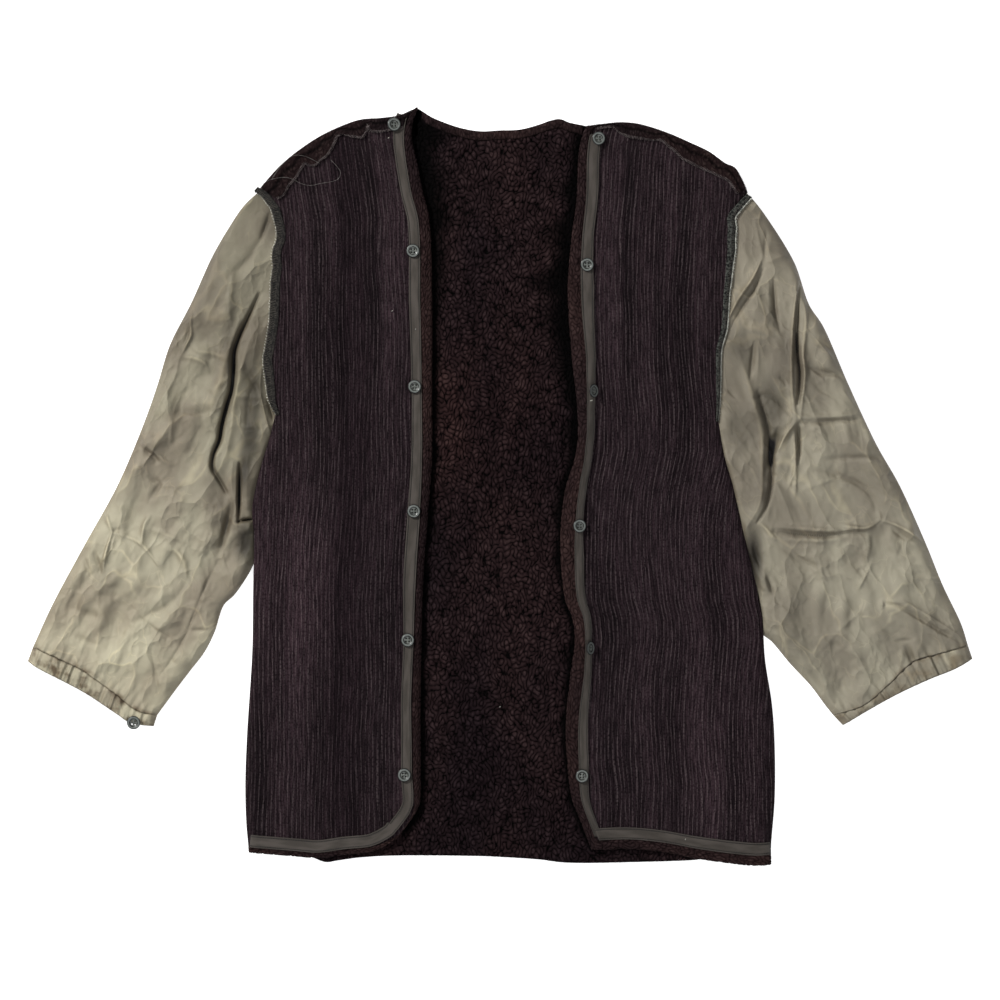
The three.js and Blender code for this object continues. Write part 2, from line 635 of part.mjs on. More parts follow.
// The sleeve's flat shape, with its armhole edge moved out from the front's by some distance.
function sleeveShape(sleeve, front, apart) {
  const moved = (v, distance) => {
    const p = front.sideLine(v);
    return new THREE.Vector2(p.x + sleeve.side * distance, p.y);
  };
  const along = (from, to, count, distance) => evenly(from, to, count).map((v) => moved(v, distance));
  const armhole = smoothLine(along(1, front.pit, ARMHOLE_POINTS, apart));
  let leaves = front.pit;
  while (front.sideLine(leaves).y > sleeve.leavesBody) leaves -= SIDE_STEP;
  const local = (rows) => rows.map((row) => sleevePoint(sleeve, row));
  const casing = smoothLine(local(sleeve.casingSeam));
  const shared = along(front.pit - PIT_CLEAR, leaves, SIDE_POINTS, SLEEVE_GAP);
  const underarm = smoothLine([armhole.at(1), ...shared, ...local(sleeve.underarm), casing.at(1)]);
  const outer = smoothLine([armhole.at(0), ...local(sleeve.outer), casing.at(0)]);
  const flat = patch(armhole.at, casing.at, outer.at, underarm.at);
  const width = (v) => flat(0, v).distanceTo(flat(1, v));
  // One column at each of the front's rows, so that the armhole's edges match, and some at the fold.
  const atRows = front.rows.filter((v) => v >= front.pit).map((v) => (1 - v) / (1 - front.pit));
  const atFold = UNDERARM_STEPS.map((d) => 1 - d / armhole.length);
  const columns = [...atRows, ...atFold].sort((a, b) => a - b);
  return { flat, width, columns, length: outer.length };
}

const FOLD_TAPER = 0.5; // part of its height that a crease loses on the way to its far end

function foldHeight(folds, p) {
  let height = 0;
  for (const fold of folds) {
    const start = new THREE.Vector2(fold.x, fold.up);
    const run = new THREE.Vector2(fold.toX - fold.x, fold.toUp - fold.up);
    const t = clamp(p.clone().sub(start).dot(run) / Math.max(run.lengthSq(), 1), 0, 1);
    const away = p.distanceTo(start.addScaledVector(run, t));
    height += fold.height * Math.exp(-((away / fold.wide) ** 2)) * (1 - FOLD_TAPER * t * t);
  }
  return height;
}

const CASING_LOFT = 7;
const LOFT_FADE = 0.12; // share of the sleeve over which its loft changes at either end
const FOLD_MARGIN = 15; // creases flatten out over this distance to both sides

function addSleeve(group, sleeve, front) {
  const shape = sleeveShape(sleeve, front, SLEEVE_GAP);
  const loft = (u, v) => {
    const toFold = Math.min(u, 1 - u) * shape.width(v);
    const round = look(SLEEVE_FOLD, 'from', 'loft', toFold);
    const nearCasing = mix(SLEEVE_LOFT, CASING_LOFT, smooth((v - 1 + LOFT_FADE) / LOFT_FADE));
    const height = SEAM_GAP + nearCasing * round;
    return mix(ARMHOLE_LOFT, height, smooth(v / LOFT_FADE));
  };
  const ends = (v) => smooth(v / LOFT_FADE) * smooth((1 - v) / (LOFT_FADE / 2));
  const sides = (u, v) => smooth((Math.min(u, 1 - u) * shape.width(v)) / FOLD_MARGIN);
  const inner = (u, v) => {
    const p = shape.flat(u, v);
    const folds = foldHeight(sleeve.folds, p) * ends(v) * sides(u, v);
    return above(p, loft(u, v) + folds);
  };
  const lower = grid(shape.columns, evenly(0, 1, SLEEVE_ROWS), inner);
  group.add(wall('sleeve_top_' + sleeve.name, raised(lower, SATIN), lower, MATERIALS.satin));

  const underShape = sleeveShape(sleeve, front, SLEEVE_GAP - BACK_INSET);
  const underEnd = 1 - UNDER_CLEAR / underShape.length;
  const floor = grid(underShape.columns, evenly(0, 1, UNDER_ROWS), (u, v) => {
    const inset = UNDER_INSET / underShape.width(v);
    return above(underShape.flat(mix(inset, 1 - inset, u), v * underEnd), 0);
  });
  group.add(wall('sleeve_under_' + sleeve.name, raised(floor, SATIN), floor, MATERIALS.satin));
  addCasing(group, sleeve, shape);
}

const GATHER_HEIGHT = 1.1;
const GATHER_FADE = 0.6; // part of their height that the gathers lose towards the casing's end
const POINTS_A_GATHER = 4;
const CASING_UNDER = 10;
const CASING_LIFT = 0.4; // the casing's fullness above the sleeve it ends

// A gathered casing: its top has a wave for each gather, its underside is flat.
function addCasing(group, sleeve, shape) {
  const end = smoothLine(sleeve.casingEnd.map((row) => sleevePoint(sleeve, row)));
  const seam = shape.columns.map((u) => shape.flat(u, 1));
  const seamAt = (u) => {
    const next = Math.max(shape.columns.findIndex((column) => column >= u - ROUNDING), 1);
    const low = shape.columns[next - 1];
    return seam[next - 1].clone().lerp(seam[next], (u - low) / (shape.columns[next] - low));
  };
  const ups = evenly(0, 1, sleeve.gathers * POINTS_A_GATHER);
  const downs = evenly(1, 0, CASING_UNDER).slice(1, -1);
  const length = shape.width(1);
  const plan = (u, t) => {
    const from = seamAt(u);
    const to = end.at(u);
    const gap = SEAM_GAP / from.distanceTo(to);
    return from.lerp(to, mix(gap, 1, t));
  };
  const loft = (u) => look(SLEEVE_FOLD, 'from', 'loft', Math.min(u, 1 - u) * length);
  const gather = (u, t) => {
    const wave = GATHER_HEIGHT * Math.sin(u * sleeve.gathers * Math.PI * 2);
    return wave * (1 - GATHER_FADE * t) * smooth(loft(u));
  };
  const topZ = (u, t) => SEAM_GAP + SATIN + CASING_LIFT + CASING_LOFT * loft(u) + gather(u, t);
  const inward = (u) => clamp(u, SATIN / length, 1 - SATIN / length);
  const ts = [0, 0.5, 1];
  const outer = ts.map((t) => [
    ...ups.map((u) => above(plan(u, t), topZ(u, t))),
    above(plan(1, t), 0),
    ...downs.map((u) => above(plan(u, t), 0)),
    above(plan(0, t), 0),
  ]);
  const hollow = (u, t) => above(plan(inward(u), t), Math.max(topZ(u, t) - SATIN, SATIN + SEAM_GAP));
  const inner = ts.map((t) => [
    ...ups.map((u) => hollow(u, t)),
    above(plan(inward(1), t), SATIN),
    ...downs.map((u) => above(plan(u, t), SATIN)),
    above(plan(inward(0), t), SATIN),
  ]);
  group.add(ring('cuff_' + sleeve.name, outer, inner, MATERIALS.satin, sleeve.side < 0));
}

// ---------------------------------------------------------------------------------------------
// Buttons: a round disc with a raised rim and a dished middle.

const BUTTON_SIDES = 12;
const BUTTON_LIFT = 0.2; // thread between a button and what it is sewn to
const BUTTON_CLEAR = 1; // a button rests on what lies this near to it too
const BUTTON_REACH = 45; // no button lies farther than this from the front edge
const REST_STEP = 1.5; // steps of the search for a button's height, across and along the front
const REST_SHARE = 0.002;
const CUFF_BUTTON_LIFT = 1.2;
const BUTTON_PROFILE = table('radius height', [
  [0, 0], [0.8, 0], [1, 0.45], [0.9, 1], [0.6, 0.6], [0, 0.6],
]);

function makeButton(name) {
  const size = new THREE.Vector2(BUTTON_RADIUS, BUTTON_HEIGHT);
  const profile = BUTTON_PROFILE.map((row) => new THREE.Vector2(row.radius, row.height).multiply(size));
  const geometry = new THREE.LatheGeometry(profile, BUTTON_SIDES);
  geometry.rotateX(Math.PI / 2);
  const button = new THREE.Mesh(geometry, MATERIALS.button.clone());
  button.name = name;
  return button;
}

// Rests a tilted button on a front's tape: the lowest height at which it clears the surface.
function addButton(group, front, row, name) {
  const tilt = THREE.MathUtils.degToRad(row.tilt);
  let rest = 0;
  for (let v = 0; v < 1; v += REST_SHARE) {
    if (Math.abs(front.top(0, v).y - row.up) > BUTTON_RADIUS * 2) continue;
    for (let fromEdge = 0; fromEdge < BUTTON_REACH; fromEdge += REST_STEP) {
      const p = front.top(fromEdge / front.width(v), v);
      const dx = p.x - row.x;
      if (Math.hypot(dx / Math.cos(tilt), p.y - row.up) > BUTTON_RADIUS + BUTTON_CLEAR) continue;
      rest = Math.max(rest, p.z + dx * Math.tan(tilt));
    }
  }
  const button = makeButton(name);
  button.rotation.y = tilt;
  const lift = SEAM_GAP + TRIM + (SEAM_GAP + BUTTON_LIFT) / Math.cos(tilt);
  button.position.set(row.x, row.up, rest + lift);
  group.add(button);
}

const LEFT_FRONT = {
  edge: LEFT_EDGE,
  side: LEFT_SIDE,
  armhole: LEFT_ARMHOLE,
  hem: LEFT_HEM,
  shoulder: LEFT_SHOULDER,
  swells: LEFT_SWELLS,
  hemStrip: LEFT_HEM_STRIP,
};
const RIGHT_FRONT = {
  edge: RIGHT_EDGE,
  side: RIGHT_SIDE,
  armhole: RIGHT_ARMHOLE,
  hem: RIGHT_HEM,
  shoulder: RIGHT_SHOULDER,
  swells: RIGHT_SWELLS,
  hemStrip: RIGHT_HEM_STRIP,
};

function makeLiner() {
  const group = new THREE.Group();
  const left = makeFront(LEFT_FRONT);
  const right = makeFront(RIGHT_FRONT);
  addBack(group, left, right);
  addFront(group, left, 'left', LEFT_ALLOWANCE);
  addFront(group, right, 'right', RIGHT_ALLOWANCE);
  addSleeve(group, LEFT_SLEEVE, left);
  addSleeve(group, RIGHT_SLEEVE, right);
  LEFT_BUTTONS.forEach((row, i) => addButton(group, left, row, 'button_left_' + (i + 1)));
  RIGHT_BUTTONS.forEach((row, i) => addButton(group, right, row, 'button_right_' + (i + 1)));
  const cuffButton = makeButton('cuff_button_left');
  const cuffTop = CASING_LOFT + SATIN + GATHER_HEIGHT;
  cuffButton.position.set(CUFF_BUTTON.x, CUFF_BUTTON.up, cuffTop + CUFF_BUTTON_LIFT);
  group.add(cuffButton);
  group.position.set(0, -LENGTH / 2, 0);
  return group;
}

export default makeLiner();
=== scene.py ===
"""A button-in pile liner for a jacket, laid flat and opened at the front.

The tables hold millimetres: x runs across from the middle of the liner and "up" is the height above
the hem line. Meshes are in metres, with the middle of the length at the origin. The back rests with
its pile up, the fronts lie on it with their knit backing up, and each sleeve is a flat satin tube.
"""
import math
from types import SimpleNamespace

import bpy
import numpy as np
from mathutils import Matrix, Vector


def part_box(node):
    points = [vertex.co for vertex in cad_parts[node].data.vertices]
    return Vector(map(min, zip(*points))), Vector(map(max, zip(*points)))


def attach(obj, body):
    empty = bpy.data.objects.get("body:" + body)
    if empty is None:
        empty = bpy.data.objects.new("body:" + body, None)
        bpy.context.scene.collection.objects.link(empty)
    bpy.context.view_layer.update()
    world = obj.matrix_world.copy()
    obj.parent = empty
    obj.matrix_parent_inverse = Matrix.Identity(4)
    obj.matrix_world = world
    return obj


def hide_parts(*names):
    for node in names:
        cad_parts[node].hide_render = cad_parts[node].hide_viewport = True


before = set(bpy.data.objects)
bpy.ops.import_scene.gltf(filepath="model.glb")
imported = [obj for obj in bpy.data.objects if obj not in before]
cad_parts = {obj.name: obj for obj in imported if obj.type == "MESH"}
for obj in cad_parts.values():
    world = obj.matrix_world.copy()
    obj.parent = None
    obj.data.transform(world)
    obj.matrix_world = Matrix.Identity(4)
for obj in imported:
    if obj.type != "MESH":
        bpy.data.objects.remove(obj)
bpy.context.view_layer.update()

MM = 0.001
LENGTH = 871  # hem to the point of the neck
VIEW_WIDTH = 1.15  # metres across the picture at the height of the cloth
VIEW_MIDDLE_UP = 419.8  # height above the hem line at the middle of the picture
CAMERA_HEIGHT = 4.0
CLOTH_HEIGHT = 0.008


def add_object(name, data):
    made = bpy.data.objects.new(name, data)
    bpy.context.collection.objects.link(made)
    return made


def evaluated_mesh(piece):
    """A new mesh with a piece's modifiers applied."""
    bpy.context.view_layer.update()
    graph = bpy.context.evaluated_depsgraph_get()
    return bpy.data.meshes.new_from_object(piece.evaluated_get(graph))


def set_up_camera():
    data = bpy.data.cameras.new("camera")
    camera = add_object("camera", data)
    camera.location = (0, (VIEW_MIDDLE_UP - LENGTH / 2) * MM, CLOTH_HEIGHT + CAMERA_HEIGHT)
    data.sensor_fit = "HORIZONTAL"
    data.lens = data.sensor_width * CAMERA_HEIGHT / VIEW_WIDTH
    bpy.context.scene.camera = camera


set_up_camera()

# --------------------------------------------------------------------------------------------------
# Sizes of the cloth and how it lies

PILE_CLOTH = 5.0
SATIN = 1.4
TRIM = 1
SEAM_GAP = 0.3
BACK_INSET = 7
UNDER_INSET = 4
SLEEVE_LOFT = 7.6
CASING_LOFT = 7.0
BUTTON_RADIUS = 7.75
BUTTON_HEIGHT = 2.8
HEM_TAPE = 14.5
FRONT_BOTTOM = 5.4
FRONT_TOP = FRONT_BOTTOM + PILE_CLOTH
HEM_STRIP = {"left": 5.5, "right": 11}
SIGN = {"left": -1, "right": 1}


def table(columns, rows):
    """A short table as named columns."""
    return SimpleNamespace(**dict(zip(columns.split(), np.array(rows, float).T)))


# The front edges from the hem corner to the neck: widths of the turned pile strip and of the tape as
# they lie in plan, and how high the strip rolls up.
EDGE = {
    "left": table("x up strip tape roll", [
        (-113, 38, 6, 10, 0), (-100, 56, 6, 10, 0), (-93, 70, 8, 10, 0.5), (-92, 107, 10, 10, 1),
        (-92, 190, 11, 9, 1), (-91, 259, 9, 9, 1), (-89, 328, 8.5, 12, 0.5), (-84, 397, 9, 12, 0.5),
        (-79, 466, 11.5, 10, 1), (-79, 535, 11.5, 9, 1.5), (-79, 650, 13.5, 10.5, 1),
        (-82, 742, 12.5, 10, 1), (-90, 776, 13, 9.5, 1), (-97, 811, 12, 9.5, 1),
        (-102, 834, 9, 10, 0.5), (-101, 854, 8, 10, 0), (-95, 871, 7, 10, 0),
    ]),
    "right": table("x up strip tape roll", [
        (106, 18, 9, 6, 2), (93, 52, 9, 6, 3), (84, 75, 10, 7, 3), (78, 121, 13, 9, 1),
        (77, 167, 14, 8, 2), (82, 218, 15, 6, 4), (87, 259, 11, 5, 6), (84, 284, 12, 6, 4),
        (76, 305, 13, 7, 3), (71, 351, 15, 8, 3), (71, 391, 16, 6, 4), (76, 431, 15, 6, 4),
        (89, 477, 9, 6, 5), (90, 523, 10, 6, 5), (84, 581, 15, 8, 3), (79, 661, 14, 12, 1),
        (83, 719, 11.5, 10, 1), (89, 765, 10, 10.5, 1), (92, 822, 9, 11, 1), (97, 843, 8, 10, 0),
        (101, 850, 7, 10, 0),
    ]),
}
SIDE = {
    "left": table("x up", [
        (-289, 15), (-292, 50), (-293, 95), (-291, 150), (-285, 247), (-284, 322), (-283, 374),
        (-285, 409), (-281, 434), (-275, 458), (-266, 488), (-258, 520),
    ]),
    "right": table("x up", [
        (312, 1), (312, 23), (316, 75), (316, 138), (313, 184), (305, 236), (301, 290), (289, 345),
        (280, 382), (267, 439), (259, 466), (252, 508),
    ]),
}
ARMHOLE = {
    "left": table("x up", [
        (-258, 520), (-267, 546), (-270, 581), (-267, 615), (-262, 650), (-261, 684), (-256, 728),
        (-264, 759), (-278, 776),
    ]),
    "right": table("x up", [
        (252, 508), (254, 546), (255, 592), (263, 638), (267, 678), (270, 713), (271, 739),
        (277, 757), (285, 774),
    ]),
}
HEM = {
    "left": table("x up", [
        (-113, 38), (-120, 30), (-145, 17), (-178, 13), (-209, 9), (-237, 11), (-289, 15),
    ]),
    "right": table("x up", [
        (106, 18), (153, 19), (192, 15), (228, 8), (270, 2), (294, 0), (312, 1),
    ]),
}
SHOULDER = {
    "left": table("x up", [
        (-95, 871), (-115, 862), (-138, 859), (-161, 857), (-184, 849), (-207, 838), (-230, 823),
        (-253, 804), (-278, 776),
    ]),
    "right": table("x up", [
        (101, 850), (120, 852), (138, 854), (155, 853), (172, 849), (195, 841), (218, 831),
        (241, 820), (259, 807), (270, 802), (277, 791), (285, 774),
    ]),
}
BACK_HEM = table("x up", [
    (-282, 22), (-240, 15), (-218, 9), (-200, 3), (-182, 6), (-137, 10), (-23, 10), (0, 9), (46, 6),
    (69, 3), (95, 2), (156, 3), (218, 5), (270, 9), (305, 12),
])
BACK_NECK = table("x up", [
    (-95, 871), (-80, 861), (-69, 856), (-46, 848), (-23, 844), (0, 845), (23, 846), (46, 852),
    (57, 856), (69, 858), (80, 854), (101, 850),
])

# Lower, wavy edge of each shoulder's turned-down allowance, from the neck to the armhole.
ALLOWANCE = {
    "left": [
        (-112, 846), (-126, 844), (-140, 842), (-150, 843), (-152, 850), (-154, 840), (-158, 835),
        (-167, 836), (-178, 839), (-186, 838), (-189, 831), (-193, 821), (-199, 813), (-206, 809),
        (-210, 804), (-218, 803), (-223, 806), (-228, 798), (-233, 789), (-241, 780), (-247, 770),
        (-255, 765),
    ],
    "right": [
        (112, 846), (122, 848), (131, 848), (137, 842), (145, 837), (161, 834), (175, 833),
        (186, 832), (192, 826), (201, 819), (207, 812), (218, 806), (230, 800), (241, 796),
        (253, 790), (261, 786), (266, 780), (272, 771),
    ],
}
# Outer, overlocked edge of each armhole's allowance, from the armpit to the shoulder.
BOUND_EDGE = {
    "left": [
        (-257, 517), (-261, 524), (-266, 535), (-268, 546), (-270, 562), (-272, 581), (-270, 594),
        (-268, 606), (-265, 627), (-264, 650), (-263, 673), (-261, 689), (-262, 698), (-261, 708),
        (-257, 719), (-257, 731), (-260, 744), (-263, 754), (-268, 761), (-275, 770), (-283, 775),
    ],
    "right": [
        (251, 510), (253, 530), (254, 558), (255, 592), (258, 604), (261, 615), (263, 638),
        (264, 655), (266, 670), (269, 693), (271, 707), (271, 719), (272, 733), (271, 744),
        (277, 753), (283, 760), (290, 768),
    ],
}

# Long soft swells of the fronts: middle, half length, half width, slant in degrees, height.
SWELLS = {
    "left": table("x up long wide slant height", [
        (-165, 330, 120, 26, 8, 2), (-225, 560, 110, 30, -6, 1.5), (-140, 600, 130, 22, 3, 1.2),
        (-178, 610, 90, 12, 1, -1.6), (-150, 520, 60, 9, 14, -1.2), (-250, 250, 160, 14, 3, 1.1),
        (-120, 250, 120, 10, -2, 0.9), (-205, 420, 140, 12, -4, -1),
    ]),
    "right": table("x up long wide slant height", [
        (150, 430, 120, 26, -10, 2.2), (215, 300, 130, 28, -6, 1.8), (170, 640, 110, 26, 4, 1.5),
        (125, 560, 70, 12, -20, 1.6), (140, 500, 55, 10, -28, -1.6), (120, 425, 45, 9, 30, 1.2),
        (235, 480, 130, 13, -6, -1.1), (180, 190, 130, 14, 5, 1.2), (260, 180, 120, 14, -5, -0.9),
    ]),
}

# Sleeves. "down" runs from the tip of the shoulder along the sleeve, "across" towards the body.
SLEEVES = {
    "left": SimpleNamespace(
        tip=(-278, 776), slant=26.8, leaves_body=354, gathers=17,
        outer=table("down across", [
            (23, -7), (50, -11), (90, -13.5), (150, -11), (205, -11), (253, -3), (300, 3), (376, 8),
            (455, 5), (533, 3),
        ]),
        underarm=table("down across", [
            (394, 189), (428, 185), (444, 179.5), (477, 184), (502, 184), (529, 179), (556, 174),
        ]),
        casing_seam=table("down across", [
            (586, 5), (584, 66), (586, 83), (592, 119), (597, 144), (592, 168),
        ]),
        casing_end=table("down across", [
            (603.5, 7), (605, 20), (606, 82), (611, 125), (613, 145), (605, 170),
        ]),
    ),
    "right": SimpleNamespace(
        tip=(285, 774), slant=22, leaves_body=267, gathers=15,
        outer=table("down across", [
            (18, -5), (46, -12), (72, -17), (99, -20), (147, -17.5), (175, -23), (249, -25),
            (325, -29), (378, -36), (454, -39), (503, -39), (554, -42),
        ]),
        underarm=table("down across", [(490, 168), (521, 158), (555, 145), (580, 138.5)]),
        casing_seam=table("down across", [
            (579, -40), (574, 0), (572, 26), (585, 60), (597, 97), (595, 134),
        ]),
        casing_end=table("down across", [
            (595, -39), (598, -15), (598, 15), (600, 56), (605, 97), (610, 128),
        ]),
    ),
}

